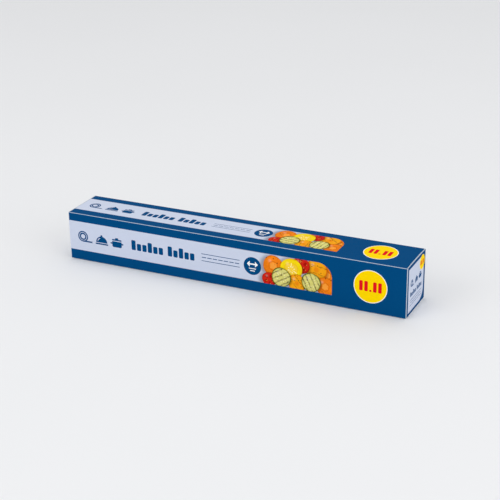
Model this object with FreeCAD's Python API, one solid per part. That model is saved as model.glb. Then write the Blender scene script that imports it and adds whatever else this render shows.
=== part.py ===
"""A retail carton of kitchen foil: a folded cartonboard tray with a hinged lid, and a roll of
aluminium foil on a card core lying in it. A toothed steel strip under the lid's cover flap
tears the foil. Flat fields of ink, as thin films, carry the printed colours.

Millimetres. +X runs along the carton, the cover flap faces -Y, +Z is up, and the origin is
the middle of the carton's underside. Each piece is written to parts/NAME.step.
"""

import FreeCAD
import Part

import math
import os

# Foil and core
foil_width = 300.0
foil_length = 7500.0
foil_thickness = 0.011
winding_looseness = 1.1  # the turns take a little more room than the bare foil
core_outer_radius = 15.25
core_wall = 1.4
core_overhang = 0.5  # the core stands out of the foil at each end
core_fit_gap = 0.1  # between the core and the first turn
loose_end_thickness = 0.15
loose_end_start = 80.0  # degrees from +Y, turning towards +Z, where the last turn lifts off
loose_end_sweep = 50.0  # degrees of the roll's rim that the lifted end would cover
loose_end_spread = 9.0  # how much flatter the lifted end is than the roll
loose_end_root = 0.1  # how deep in the turns it starts

# Carton
board = 0.5
crease_radius = 0.8  # outside of a fold
end_play = 3.5  # free length between the core and the dust flaps, at each end
side_play = 5.01  # in front of the roll and behind it
head_room = 9.87  # over the roll
seat_gap = 0.1  # under the roll
lid_gap = 0.25  # between the lid's top panel and the edges of the tray
flap_gap = 0.45  # between the cover flap and the tray's front wall
flap_lift = 0.5  # the cover flap's lower edge above the ground
dust_flap_length = 17.0
dust_flap_taper = 5.0
end_panel_inset = 0.3  # the end panels are a little narrower than the tray is deep
ear_depth = 13.0
ear_width = 27.0
ear_corner = 5.0
ear_clearance = 5.5  # between the ears and the dust flaps below them

# Cutter strip
strip_thickness = 0.2
strip_height = 9.0
tooth_pitch = 3.125
tooth_height = 1.2
tooth_clearance = 0.3  # tips above the ground

# Printed fields on a long panel: across from its left end, down from its upper edge
ink = 0.04
band_top_margin = 7.4
top_panel_band_margin = 8.8  # the same on the top panel, from its back edge
band_bottom_margin = 9.45
band_end_margin = 63.0
band_corner = 12.5
emblem_start = 8.5
emblem_height = 10.0
emblem_line = 1.3
emblem_gap = 2.6
emblem_sheet_reach = 9.9
emblem_core_radius = 2.1
emblem_dome_width = 12.6
emblem_pot_width = 9.4
emblem_pot_height = 5.4
emblem_handle = 1.7
emblem_knob = 3.1
word_start = 62.1
word_shapes = ((1, 0, 0, 1, 0, 0), (1, 0, 1, 0, 0))  # 1 stands for a tall block, 0 for a short one
word_gap = 4.6
letter_width = 4.17
letter_gap = 1.15
letter_corner = 0.9
tall_height = 9.1
short_height = 6.4
rule_after_words = 6.65
rule_before_badge = 3.7
rule_width = 0.54
rule_spacing = 3.1
small_dash = 4.2
small_dash_gap = 0.9
small_dash_height = 0.7
badge_from_band_end = 70.3
badge_radius = 7.9
badge_arrow_length = 10.0
badge_arrow_head = 2.6
badge_arrow_line = 1.2
badge_arrow_rise = 1.7  # the arrow above the badge's middle
badge_line_lengths = (6.4, 4.4)
badge_line_width = 0.75
badge_line_drop = 1.9  # the first line below the badge's middle
badge_line_spacing = 2.0
spot_from_end = 30.2
spot_radius = 13.65
spot_rim = 0.55
price_bar_width = 3.0
price_bar_height = 8.8
price_bar_gap = 1.3
price_dot = 1.8
picture_from_band_end = 60.0
# Round slices in the picture, the lowest first: (name, across, down from the band's middle, radius)
slices = (
    ("squash", 46.5, -6.4, 9.4),
    ("tomato", 33.2, -8.2, 7.6),
    ("carrot", 8.6, -3.4, 9.2),
    ("pepper", 24.6, -3.0, 9.8),
    ("carrot", 54.2, 7.2, 8.2),
    ("tomato", 4.8, 9.2, 6.4),
    ("squash", 29.6, 8.6, 8.0),
    ("courgette", 15.6, 5.6, 8.6),
    ("courgette", 42.0, 5.6, 8.4),
)
slice_sides = 28
slice_waves = 3
slice_unevenness = 0.025  # of the slice's radius
least_slice_area = 0.5  # a smaller sliver of a slice isn't printed

# Printed fields on an end panel
end_band_left = 3.9
end_band_right_margin = 3.8
end_band_top = 3.0
end_band_bottom_margin = 2.9
end_band_corner = 10.0
end_spot_right_margin = 8.2
end_spot_top = 8.35
end_spot_radius = 6.15
end_price_scale = 0.43
end_emblem_scale = 0.6
end_emblem_down = 17.0
end_word_scale = 0.45
end_word_down = 26.1
end_rule_scale = 0.72
end_rule_length = 28.5
end_rule_down = 33.4

# Worked out from the sizes above
roll_inner_radius = core_outer_radius + core_fit_gap
wound_area = foil_length * foil_thickness * winding_looseness
roll_radius = math.sqrt(roll_inner_radius**2 + wound_area / math.pi)
core_length = foil_width + 2 * core_overhang
carton_length = core_length + 2 * (end_play + 2 * board)
carton_depth = 2 * (roll_radius + side_play) + 3 * board + flap_gap
carton_height = 2 * roll_radius + seat_gap + head_room + 2 * board
half_length = carton_length / 2
front = -carton_depth / 2
back = carton_depth / 2
tray_front = front + board + flap_gap
wall_top = carton_height - board - lid_gap
lid_half_length = half_length - board - lid_gap
dust_flap_top = carton_height - board - ear_depth - ear_clearance
roll_y = (tray_front + back) / 2
roll_z = board + seat_gap + roll_radius

overrun = 1.0  # how far a cutting block runs past what it cuts
near = 0.01

X = FreeCAD.Vector(1, 0, 0)
Y = FreeCAD.Vector(0, 1, 0)
Z = FreeCAD.Vector(0, 0, 1)


def block(x0, x1, y0, y1, z0, z1):
    """A box between two corners."""
    return Part.makeBox(x1 - x0, y1 - y0, z1 - z0, FreeCAD.Vector(x0, y0, z0))


def arc_edge(centre, radius, start, end):
    """An arc in the YZ plane, angles in degrees from +Y towards +Z."""
    angles = (start, (start + end) / 2, end)
    points = [centre + Y * radius * math.cos(math.radians(a)) + Z * radius * math.sin(math.radians(a))
              for a in angles]
    return Part.Arc(*points).toShape()


def line_edge(y0, z0, y1, z1):
    """A straight edge in the YZ plane."""
    return Part.makeLine(FreeCAD.Vector(0, y0, z0), FreeCAD.Vector(0, y1, z1))


def extruded_along_x(edges, x0, x1):
    """The closed YZ outline that the edges make, as a solid from x0 to x1."""
    wire = Part.Wire(Part.__sortEdges__(edges))
    solid = Part.Face(wire).extrude(X * (x1 - x0))
    solid.translate(X * x0)
    return solid


def polygon_prism(points, direction):
    """A prism on the closed polygon of 3-D points."""
    return Part.Face(Part.makePolygon(points + points[:1])).extrude(direction)


def long_walls():
    """Front wall, bottom and back wall of the tray, folded from one strip."""
    inner = crease_radius - board
    low_front = FreeCAD.Vector(0, tray_front + crease_radius, crease_radius)
    low_back = FreeCAD.Vector(0, back - crease_radius, crease_radius)
    edges = [
        line_edge(tray_front, wall_top, tray_front, crease_radius),
        arc_edge(low_front, crease_radius, 180, 270),
        line_edge(tray_front + crease_radius, 0, back - crease_radius, 0),
        arc_edge(low_back, crease_radius, 270, 360),
        line_edge(back, crease_radius, back, wall_top),
        line_edge(back, wall_top, back - board, wall_top),
        line_edge(back - board, wall_top, back - board, crease_radius),
        arc_edge(low_back, inner, 360, 270),
        line_edge(back - crease_radius, board, tray_front + crease_radius, board),
        arc_edge(low_front, inner, 270, 180),
        line_edge(tray_front + board, crease_radius, tray_front + board, wall_top),
        line_edge(tray_front + board, wall_top, tray_front, wall_top),
    ]
    return extruded_along_x(edges, -half_length + board, half_length - board)


def end_panel(side):
    """The outer end panel, folded up from the bottom and glued over the dust flaps."""
    inner_end = half_length - 2 * crease_radius
    y0, y1 = tray_front + end_panel_inset, back - end_panel_inset
    x0, x1 = sorted((side * inner_end, side * half_length))
    panel = block(x0, x1, y0, y1, 0, carton_height)
    fold = [e for e in panel.Edges
            if e.BoundBox.ZMax < near and abs(e.CenterOfMass.x - side * half_length) < near]
    panel = panel.makeFillet(crease_radius, fold)
    x2, x3 = sorted((side * (inner_end - overrun), side * (half_length - board)))
    hollow = block(x2, x3, y0 - overrun, y1 + overrun, board, carton_height + overrun)
    return panel.cut(hollow)


def dust_flap(side, wall_y, inwards):
    """A flap folded in from a long wall, with its upper corner cut off."""
    x0 = min(side * (half_length - board), side * (half_length - 2 * board))
    reach = wall_y + inwards * dust_flap_length
    outline = [
        (wall_y, board), (reach, board), (reach, dust_flap_top - dust_flap_taper),
        (reach - inwards * dust_flap_taper, dust_flap_top), (wall_y, dust_flap_top),
    ]
    return polygon_prism([FreeCAD.Vector(x0, y, z) for y, z in outline], X * board)


def carton_tray():
    """The board tray: long walls, end panels and dust flaps, folded and glued into one."""
    tray = long_walls()
    for side in (-1, 1):
        tray = tray.fuse(end_panel(side))
        tray = tray.fuse(dust_flap(side, tray_front + board, 1))
        tray = tray.fuse(dust_flap(side, back - board, -1))
    return tray.removeSplitter()


def lid_ear(side):
    """A tongue folded down from the lid's end, tucked inside the tray."""
    x0 = min(side * lid_half_length, side * (lid_half_length - board))
    low, high = carton_height - board - ear_depth, carton_height - board
    ear = block(x0, x0 + board, roll_y - ear_width / 2, roll_y + ear_width / 2, low, high)
    corners = [e for e in ear.Edges
               if e.BoundBox.ZMax < low + near and e.BoundBox.XMax - e.BoundBox.XMin > board / 2]
    return ear.makeFillet(ear_corner, corners)


def cover_flap():
    """The flap that closes the front, with the fold over its upper edge."""
    fold = FreeCAD.Vector(0, front + crease_radius, carton_height - crease_radius)
    edges = [
        line_edge(front, flap_lift, front, fold.z),
        arc_edge(fold, crease_radius, 180, 90),
        line_edge(fold.y, carton_height, fold.y, carton_height - board),
        arc_edge(fold, crease_radius - board, 90, 180),
        line_edge(front + board, fold.z, front + board, flap_lift),
        line_edge(front + board, flap_lift, front, flap_lift),
    ]
    return extruded_along_x(edges, -half_length, half_length)


def lid_top():
    """The lid's top panel. Its back edge is rounded, because it turns about that edge."""
    under = carton_height - board
    edge = FreeCAD.Vector(0, back - board, under)
    edges = [
        line_edge(front + crease_radius, under, back, under),
        arc_edge(edge, board, 0, 90),
        line_edge(edge.y, carton_height, front + crease_radius, carton_height),
        line_edge(front + crease_radius, carton_height, front + crease_radius, under),
    ]
    return extruded_along_x(edges, -lid_half_length, lid_half_length)


def carton_lid():
    """The lid: cover flap, top panel and ears, folded from one piece."""
    return cover_flap().fuse([lid_top(), lid_ear(-1), lid_ear(1)]).removeSplitter()


def cutter_strip():
    """A thin steel strip with a row of teeth, held against the inside of the cover flap."""
    half = foil_width / 2
    tip, root = tooth_clearance, tooth_clearance + tooth_height
    count = round(2 * half / tooth_pitch)
    pitch = 2 * half / count
    y = front + board
    points = [FreeCAD.Vector(half, y, tip + strip_height), FreeCAD.Vector(-half, y, tip + strip_height)]
    for n in range(count):
        left = -half + n * pitch
        points.append(FreeCAD.Vector(left, y, root))
        points.append(FreeCAD.Vector(left + pitch / 2, y, tip))
    points.append(FreeCAD.Vector(half, y, root))
    return polygon_prism(points, Y * strip_thickness)


def core_tube():
    """The wound card tube that the foil is rolled on."""
    start = FreeCAD.Vector(-core_length / 2, roll_y, roll_z)
    outer = Part.makeCylinder(core_outer_radius, core_length, start, X)
    bore = Part.makeCylinder(core_outer_radius - core_wall, core_length, start, X)
    return outer.cut(bore)


def loose_end():
    """The free end of the foil, which lifts off the roll in one gentle curve."""
    away = Y * math.cos(math.radians(loose_end_start)) + Z * math.sin(math.radians(loose_end_start))
    outside = roll_radius + loose_end_spread - loose_end_root
    inside = outside - loose_end_thickness
    centre = FreeCAD.Vector(0, roll_y, roll_z) - away * loose_end_spread
    last = loose_end_start + loose_end_sweep * roll_radius / outside
    edges = [arc_edge(centre, radius, loose_end_start, last) for radius in (inside, outside)]
    for angle in (loose_end_start, last):
        ray = Y * math.cos(math.radians(angle)) + Z * math.sin(math.radians(angle))
        edges.append(Part.makeLine(centre + ray * inside, centre + ray * outside))
    return extruded_along_x(edges, -foil_width / 2, foil_width / 2)


def foil_roll():
    """All the turns of foil as one solid, with the free end."""
    start = FreeCAD.Vector(-foil_width / 2, roll_y, roll_z)
    turns = Part.makeCylinder(roll_radius, foil_width, start, X)
    turns = turns.cut(Part.makeCylinder(roll_inner_radius, foil_width, start, X))
    return turns.fuse(loose_end())


class Panel:
    """A printed panel: shapes are drawn across and down from its upper left corner."""

    def __init__(self, corner, across, down, width, height, board_start=0.0, band_top=0.0):
        out = across.cross(-down)
        matrix = FreeCAD.Matrix(
            across.x, -down.x, out.x, corner.x,
            across.y, -down.y, out.y, corner.y,
            across.z, -down.z, out.z, corner.z,
        )
        self.placement = FreeCAD.Placement(matrix)
        self.width = width
        self.height = height
        self.board_start = board_start  # where the board begins, across from the corner
        self.band_top = band_top  # where the pale field begins, down from the corner

    def film(self, face, level):
        """The drawn face as a film of ink, on the board or on so many other films."""
        solid = face.extrude(Z * ink)
        solid.translate(Z * ink * level)
        solid.Placement = self.placement.multiply(solid.Placement)
        return solid


def long_panel(x, y, across, down, height, board_start=0.0, band_top=band_top_margin):
    """One of the panels that run the carton's length."""
    corner = FreeCAD.Vector(x, y, carton_height)
    return Panel(corner, across, down, carton_length, height, board_start, band_top)


def side_panel(x, y, across):
    """One of the two end panels."""
    return Panel(FreeCAD.Vector(x, y, carton_height), across, -Z, carton_depth, carton_height)


front_panel = long_panel(-half_length, front, X, -Z, carton_height)
top_start = half_length - lid_half_length
top_panel = long_panel(-half_length, back, X, -Y, carton_depth, top_start, top_panel_band_margin)
back_panel = long_panel(half_length, back, -X, -Z, carton_height, board)
right_panel = side_panel(half_length, front, Y)
left_panel = side_panel(-half_length, back, -Y)


def rounded_box(left, top, right, bottom, corners):
    """A flat face with its corners, upper left first and clockwise, rounded by the given radii."""
    places = [(left, -top, 180), (right, -top, 90), (right, -bottom, 0), (left, -bottom, -90)]
    inwards = [(1, -1), (-1, -1), (-1, 1), (1, 1)]
    edges, ends = [], []
    for (x, y, start), (dx, dy), radius in zip(places, inwards, corners):
        if radius > 0:
            centre = FreeCAD.Vector(x + dx * radius, y + dy * radius, 0)
            angles = [math.radians(start - turn) for turn in (0, 45, 90)]
            points = [centre + FreeCAD.Vector(math.cos(a), math.sin(a), 0) * radius for a in angles]
            edges.append(Part.Arc(*points).toShape())
            ends.append((points[0], points[2]))
        else:
            corner = FreeCAD.Vector(x, y, 0)
            ends.append((corner, corner))
    for n, (_, leaving) in enumerate(ends):
        arriving = ends[(n + 1) % len(ends)][0]
        if leaving.distanceToPoint(arriving) > 1e-6:
            edges.append(Part.makeLine(leaving, arriving))
    return Part.Face(Part.Wire(Part.__sortEdges__(edges)))


def disc(across, down, radius):
    """A flat round face."""
    return Part.Face(Part.Wire(Part.makeCircle(radius, FreeCAD.Vector(across, -down, 0))))


def polygon_face(points):
    """A flat face through points given across and down, clockwise."""
    vectors = [FreeCAD.Vector(x, -y, 0) for x, y in reversed(points)]
    return Part.Face(Part.makePolygon(vectors + vectors[:1]))


def bar(left, right, top, bottom, cut=0.0):
    """An upright or level bar, with its corners cut off at 45 degrees if a cut is given."""
    if not cut:
        return polygon_face([(left, top), (right, top), (right, bottom), (left, bottom)])
    return polygon_face([
        (left + cut, top), (right - cut, top), (right, top + cut), (right, bottom - cut),
        (right - cut, bottom), (left + cut, bottom), (left, bottom - cut), (left, top + cut),
    ])


def band_face(panel):
    """The pale field of a long panel, with one rounded corner."""
    right, bottom = panel.width - band_end_margin, panel.height - band_bottom_margin
    return rounded_box(panel.board_start, panel.band_top, right, bottom, (0, band_corner, 0, 0))


def band_middle(panel):
    """The line down the pale field that the marks are centred on."""
    return (panel.band_top + panel.height - band_bottom_margin) / 2


def merged(faces):
    """Overlapping flat faces without the lines between them."""
    return faces[0].fuse(faces[1:]).removeSplitter().Faces


def roll_mark(across, foot, scale):
    """A roll seen from its end, with a sheet drawn off it that ends in a notch."""
    radius, line = emblem_height / 2 * scale, emblem_line * scale
    centre, end = across + radius, across + radius + emblem_sheet_reach * scale
    roll = disc(centre, foot - radius, radius).cut(disc(centre, foot - radius, emblem_core_radius * scale))
    notch = (end - line, foot - line / 2)
    sheet = [(centre, foot - line), (end, foot - line), notch, (end, foot), (centre, foot)]
    return merged([roll, polygon_face(sheet)]), end


def dome_mark(across, foot, scale):
    """A serving dome with its knob, over a plate."""
    line, end = emblem_line * scale, across + emblem_dome_width * scale
    centre, radius = (across + end) / 2, (end - across - line) / 2
    rim = foot - 1.5 * line
    dome = disc(centre, rim, radius).common(bar(across, end, rim - radius, rim)).Faces[0]
    knob = bar(centre - line / 2, centre + line / 2, rim - radius - line, rim - radius + line / 2)
    return [bar(across, end, foot - line, foot)] + merged([dome, knob]), end


def pot_mark(across, foot, scale):
    """A pot with two handles, a lid and a knob."""
    line, handle = emblem_line * scale, emblem_handle * scale
    half, top = emblem_pot_width / 2 * scale, foot - emblem_pot_height * scale
    end = across + 2 * (handle + half)
    middle = (across + end) / 2
    body = bar(middle - half, middle + half, top, foot, line)
    handles = bar(across, end, top + line, top + 2 * line)
    lid = bar(middle - half, middle + half, top - 1.5 * line, top - line / 2)
    half_knob = emblem_knob / 2 * scale
    knob = bar(middle - half_knob, middle + half_knob, top - 2.5 * line, top - 1.5 * line)
    return merged([body, handles]) + merged([lid, knob]), end


def emblem(across, down, scale=1.0):
    """Three kitchen marks in a row on one foot line, and where they end."""
    faces = []
    foot = down + emblem_height / 2 * scale
    for mark in (roll_mark, dome_mark, pot_mark):
        drawn, end = mark(across, foot, scale)
        faces += drawn
        across = end + emblem_gap * scale
    return faces, end


def words_width(scale):
    """The length of the two words."""
    letters = sum(len(shape) for shape in word_shapes)
    gaps = len(word_shapes) - 1
    step = letter_width + letter_gap
    return (letters * step + gaps * (word_gap - letter_gap) - letter_gap) * scale


def words(across, down, scale=1.0):
    """Two words in plain blocks, tall and short, on one foot line."""
    faces = []
    foot = down + tall_height * scale / 2
    for shape in word_shapes:
        for tall in shape:
            height = (tall_height if tall else short_height) * scale
            right = across + letter_width * scale
            faces.append(bar(across, right, foot - height, foot, letter_corner * scale))
            across = right + letter_gap * scale
        across += (word_gap - letter_gap) * scale
    return faces


def rules(start, end, down, scale=1.0):
    """Two fine rules with a row of short dashes between them."""
    half = rule_width * scale / 2
    faces = []
    for line in (down - rule_spacing * scale, down + rule_spacing * scale):
        faces.append(bar(start, end, line - half, line + half))
    dash, gap = small_dash * scale, small_dash_gap * scale
    half = small_dash_height * scale / 2
    count = int((end - start + gap) / (dash + gap))
    left = (start + end - count * (dash + gap) + gap) / 2
    for _ in range(count):
        faces.append(bar(left, left + dash, down - half, down + half))
        left += dash + gap
    return faces


def badge_marks(across, down):
    """A double arrow over two short lines, for the length on the roll."""
    half, head, line = badge_arrow_length / 2, badge_arrow_head, badge_arrow_line / 2
    axis, neck = down - badge_arrow_rise, badge_arrow_length / 2 - badge_arrow_head
    arrow = [
        (across - half, axis), (across - neck, axis - head), (across - neck, axis - line),
        (across + neck, axis - line), (across + neck, axis - head), (across + half, axis),
        (across + neck, axis + head), (across + neck, axis + line),
        (across - neck, axis + line), (across - neck, axis + head),
    ]
    faces = [polygon_face(arrow)]
    for n, length in enumerate(badge_line_lengths):
        top = down + badge_line_drop + badge_line_spacing * n
        faces.append(bar(across - length / 2, across + length / 2, top, top + badge_line_width))
    return faces


def price_bars(across, down, scale=1.0):
    """Four upright blocks with a dot between the first pair and the second."""
    width, gap, dot = price_bar_width * scale, price_bar_gap * scale, price_dot * scale
    top, foot = down - price_bar_height * scale / 2, down + price_bar_height * scale / 2
    left = across - (4 * width + 4 * gap + dot) / 2
    faces = []
    for n in range(4):
        faces.append(bar(left, left + width, top, foot, letter_corner * scale))
        left += width + gap
        if n == 1:
            faces.append(bar(left, left + dot, foot - dot, foot, dot / 4))
            left += dot + gap
    return faces


def slice_outline(across, down, radius):
    """A slice's outline: round, but uneven, and turned by its place so that no two look the same."""
    points = []
    for n in range(slice_sides):
        angle = 2 * math.pi * n / slice_sides
        reach = radius * (1 + slice_unevenness * math.sin(slice_waves * angle + across))
        points.append((across + reach * math.cos(angle), down + reach * math.sin(angle)))
    return polygon_face(points)


def picture_faces(panel):
    """The slices as flat faces by name, each cut by the field's edge and the slices over it."""
    field = band_face(panel)
    start = panel.width - band_end_margin - picture_from_band_end
    middle = band_middle(panel)
    found = {}
    over = []
    for name, across, down, radius in reversed(slices):
        face = slice_outline(start + across, middle + down, radius)
        shown = face.common(field)
        if over:
            shown = shown.cut(over)
        found.setdefault(name, []).extend(f for f in shown.Faces if f.Area > least_slice_area)
        over.append(face)
    return found


def badge_centre(panel):
    """How far across the badge is."""
    return panel.width - band_end_margin - badge_from_band_end


def wording(panel):
    """The words and rules that every long panel carries. The rules fill the room before the badge."""
    middle = band_middle(panel)
    start = word_start + words_width(1.0) + rule_after_words
    end = badge_centre(panel) - badge_radius - rule_before_badge
    return words(word_start, middle) + rules(start, end, middle)


def long_panel_print(panel):
    """What is printed on the lid's two long panels, as films by the name of their ink."""
    middle = band_middle(panel)
    badge = badge_centre(panel)
    spot = panel.width - spot_from_end
    dark = emblem(emblem_start, middle)[0] + wording(panel) + [disc(badge, middle, badge_radius)]
    rim = panel.film(disc(spot, middle, spot_radius + spot_rim), 0)
    films = {
        "pale": [panel.film(band_face(panel), 0)],
        "dark": [panel.film(f, 1) for f in dark],
        "white": [panel.film(f, 2) for f in badge_marks(badge, middle)] + [rim],
        "yellow": [panel.film(disc(spot, middle, spot_radius), 1)],
        "red": [panel.film(f, 2) for f in price_bars(spot, middle)],
    }
    for name, faces in picture_faces(panel).items():
        films[name] = [panel.film(f, 1) for f in faces]
    return films


def back_print():
    """The back is printed plainly: the pale field with the words and rules."""
    return {"pale": [back_panel.film(band_face(back_panel), 0)],
            "dark": [back_panel.film(f, 1) for f in wording(back_panel)]}


def end_print(panel):
    """The end panels: a pale field under a small round spot, with smaller marks."""
    right, bottom = panel.width - end_band_right_margin, panel.height - end_band_bottom_margin
    spot_across = panel.width - end_spot_right_margin
    spot = disc(spot_across, end_spot_top, end_spot_radius)
    field = rounded_box(end_band_left, end_band_top, right, bottom, (0, 0, end_band_corner, 0)).cut(spot)
    middle = (end_band_left + right) / 2
    emblem_end = emblem(0, 0, end_emblem_scale)[1]
    dark = emblem(middle - emblem_end / 2, end_emblem_down, end_emblem_scale)[0]
    dark += words(middle - words_width(end_word_scale) / 2, end_word_down, end_word_scale)
    half = end_rule_length / 2
    dark += rules(middle - half, middle + half, end_rule_down, end_rule_scale)
    price = price_bars(spot_across, end_spot_top, end_price_scale)
    return {
        "pale": [panel.film(field, 0)],
        "dark": [panel.film(f, 1) for f in dark],
        "yellow": [panel.film(spot, 0)],
        "red": [panel.film(f, 1) for f in price],
    }


def gathered(prefix, prints):
    """One node for each ink, holding its films from every panel."""
    nodes = {}
    for films in prints:
        for name, solids in films.items():
            nodes.setdefault(f"{prefix}_print_{name}", []).extend(solids)
    return {name: Part.makeCompound(solids) for name, solids in nodes.items()}


def main():
    nodes = {
        "carton_tray": carton_tray(),
        "carton_lid": carton_lid(),
        "cutter_strip": cutter_strip(),
        "core_tube": core_tube(),
        "foil_roll": foil_roll(),
    }
    nodes.update(gathered("lid", [long_panel_print(front_panel), long_panel_print(top_panel)]))
    nodes.update(gathered("tray", [back_print(), end_print(left_panel), end_print(right_panel)]))
    os.makedirs("parts", exist_ok=True)
    for name, shape in nodes.items():
        shape.exportStep(f"parts/{name}.step")
        print(name, len(shape.Solids), "solids", round(shape.Volume, 2), "mm3", shape.isValid())


main()
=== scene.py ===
"""Looks for a boxed kitchen foil roll: the folded and printed board, the cutter, the core and the foil.

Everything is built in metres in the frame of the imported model. +X runs along the carton, the cover
flap faces -Y and +Z is up. Print layouts are written in millimetres, across and down a panel.
"""

import math

import bmesh
import bpy
from mathutils import Matrix, Vector, geometry, noise
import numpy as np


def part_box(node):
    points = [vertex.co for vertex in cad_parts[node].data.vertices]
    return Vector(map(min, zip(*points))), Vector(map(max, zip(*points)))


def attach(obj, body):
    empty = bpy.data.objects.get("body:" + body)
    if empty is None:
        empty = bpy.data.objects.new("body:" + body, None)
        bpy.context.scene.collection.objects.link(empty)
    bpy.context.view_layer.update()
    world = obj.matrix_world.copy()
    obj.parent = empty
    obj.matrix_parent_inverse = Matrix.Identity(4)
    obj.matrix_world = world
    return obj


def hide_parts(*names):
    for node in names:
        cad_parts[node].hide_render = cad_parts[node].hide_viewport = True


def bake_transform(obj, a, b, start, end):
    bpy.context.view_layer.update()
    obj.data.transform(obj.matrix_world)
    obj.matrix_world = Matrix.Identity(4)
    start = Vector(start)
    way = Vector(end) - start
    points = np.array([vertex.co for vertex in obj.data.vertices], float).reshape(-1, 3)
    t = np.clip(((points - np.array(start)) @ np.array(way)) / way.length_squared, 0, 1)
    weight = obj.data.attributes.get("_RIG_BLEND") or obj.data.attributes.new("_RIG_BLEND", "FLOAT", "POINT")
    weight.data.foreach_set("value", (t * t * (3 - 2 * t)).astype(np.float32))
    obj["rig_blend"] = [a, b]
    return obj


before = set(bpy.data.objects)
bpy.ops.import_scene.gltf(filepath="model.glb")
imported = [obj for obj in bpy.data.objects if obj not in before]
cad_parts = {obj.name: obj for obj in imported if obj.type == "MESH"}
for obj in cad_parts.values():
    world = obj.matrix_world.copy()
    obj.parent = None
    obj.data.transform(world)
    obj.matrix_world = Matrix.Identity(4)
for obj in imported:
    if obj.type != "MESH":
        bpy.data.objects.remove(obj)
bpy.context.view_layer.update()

bl_info = {
    "name": "Kitchen foil carton",
    "version": (1, 0, 0),
    "blender": (4, 5, 0),
    "location": "3D View > Sidebar > Foil carton",
    "description": "Builds a printed carton with its hinged lid, cutter, core and foil",
    "category": "Object",
}

MM = 0.001

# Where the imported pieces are
TRAY_LOW, TRAY_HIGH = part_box("carton_tray")
LID_LOW, LID_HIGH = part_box("carton_lid")
STRIP_LOW, STRIP_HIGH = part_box("cutter_strip")
CORE_LOW, CORE_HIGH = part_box("core_tube")
HALF_LENGTH = LID_HIGH.x
FRONT = LID_LOW.y
BACK = TRAY_HIGH.y
HEIGHT = LID_HIGH.z
TRAY_FRONT = TRAY_LOW.y
AXIS_Y = (CORE_LOW.y + CORE_HIGH.y) / 2
AXIS_Z = (CORE_LOW.z + CORE_HIGH.z) / 2
CORE_RADIUS = (CORE_HIGH.y - CORE_LOW.y) / 2

# Sizes of the board blank that no setting changes
LID_GAP = 0.25 * MM
END_INSET = 0.3 * MM
EAR_HALF_WIDTH = 13.5 * MM
EAR_FOOT = HEIGHT - 13.5 * MM
EAR_CORNER = 5.0 * MM
DUST_FLAP_REACH = 17.5 * MM
DUST_FLAP_TOP = HEIGHT - 19.0 * MM
DUST_FLAP_TAPER = 5.0 * MM
BESIDE_FOLD = 0.3 * MM

# How much of a crease's cracked ink and painted highlight shows on the one under the cover flap and on the
# hinge
COVERED_WEAR_AND_HIGHLIGHT = 0.3
HINGE_WEAR_AND_HIGHLIGHT = 0.5

# Sizes of the wound foil that no setting changes
FOIL_HALF_WIDTH = 150.0 * MM
ROLL_RADIUS = 16.264 * MM
ROLL_BORE = 15.35 * MM

# Print on a long panel, in millimetres across from its left end and down from its upper edge
PANEL_LENGTH = 2 * HALF_LENGTH / MM
PANEL_DEPTH = (BACK - FRONT) / MM
TOP_PANEL_START = 0.75
BACK_PANEL_START = 0.5
BAND_TOP = 7.4
TOP_PANEL_BAND_TOP = 8.8
BAND_BOTTOM_MARGIN = 9.45
BAND_END_MARGIN = 63.0
BAND_CORNER = 12.5
EMBLEM_START = 8.5
WORD_START = 62.1
WORD_SHAPES = ((1, 0, 0, 1, 0, 0), (1, 0, 1, 0, 0))
# A block's width, the gap between blocks and the gap between the words
LETTER = (4.17, 1.15, 4.6)
LETTER_CORNER = 1.0
TALL = 9.1
SHORT = 6.4
RULE_AFTER_WORDS = 6.65
RULE_BEFORE_BADGE = 3.7
RULE_HALF = 0.27
RULE_SPACING = 3.1
DASH = 4.2
DASH_GAP = 0.9
DASH_HALF = 0.35
DASH_CORNER = 0.3
# Rings of the roll mark: ink and radius
ROLL_MARK_RINGS = (("dark", 5.0), ("pale", 3.9), ("dark", 3.4), ("pale", 2.1))
BADGE_FROM_BAND_END = 70.3
BADGE_RADIUS = 7.9
# The arrow's rise over the badge's middle, half length, half neck, half head and half thickness
BADGE_ARROW = (1.7, 5.0, 2.4, 2.6, 0.6)
BADGE_LINES = (6.4, 4.4)
BADGE_LINE_DROP = 1.9
BADGE_LINE_STEP = 2.0
BADGE_LINE_WIDTH = 0.75
BADGE_LINE_CORNER = 0.2
SPOT_FROM_END = 30.2
SPOT_RADIUS = 13.65
SPOT_RIM = 0.55
# A price block's width, the gaps, the dot and half a block's height
PRICE_BAR = (3.0, 1.3, 1.8, 4.4)
PICTURE_FROM_BAND_END = 60.0
# Slices in the picture, the lowest first: name, across, down from the band's middle, radius
SLICES = (
    ("carrot", 56.0, -3.2, 7.8),
    ("squash", 46.5, -6.4, 9.4),
    ("tomato", 33.2, -8.2, 7.6),
    ("carrot", 8.6, -3.4, 9.2),
    ("pepper", 24.6, -3.0, 9.8),
    ("carrot", 54.2, 7.2, 8.2),
    ("tomato", 4.8, 9.2, 6.4),
    ("squash", 29.6, 8.6, 8.0),
    ("courgette", 15.6, 5.6, 8.6),
    ("courgette", 42.0, 5.6, 8.4),
)

# How bright metal sees the studio: from this height to that, from this strength to that
GLEAM_RANGE = (-0.05, 1.0, 0.22, 1.0)

# How fast the painted reflection on the foil, its lighter and darker patches of colour, changes along the
# roll and round it
FOIL_PAINTED_REFLECTION_SCALE = (26.0, 150.0, 150.0)

# Print on an end panel
END_BAND = (3.9, 3.0, 3.8, 2.9)
END_BAND_CORNER = 10.0
END_SPOT_FROM_EDGE = 8.2
END_SPOT_DOWN = 8.35
END_SPOT_RADIUS = 6.15
END_MARK_SCALE = 0.6
END_MARKS_DOWN = 17.0
END_WORD_SCALE = 0.45
END_WORDS_DOWN = 26.1
END_RULES_HALF = 14.25
END_RULES_DOWN = 33.4
END_RULE_SCALE = 0.72
END_PRICE_SCALE = 0.43

# What the camera looks at
CAMERA_TARGET = Vector((9.03, 0.0, 26.36)) * MM


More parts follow.
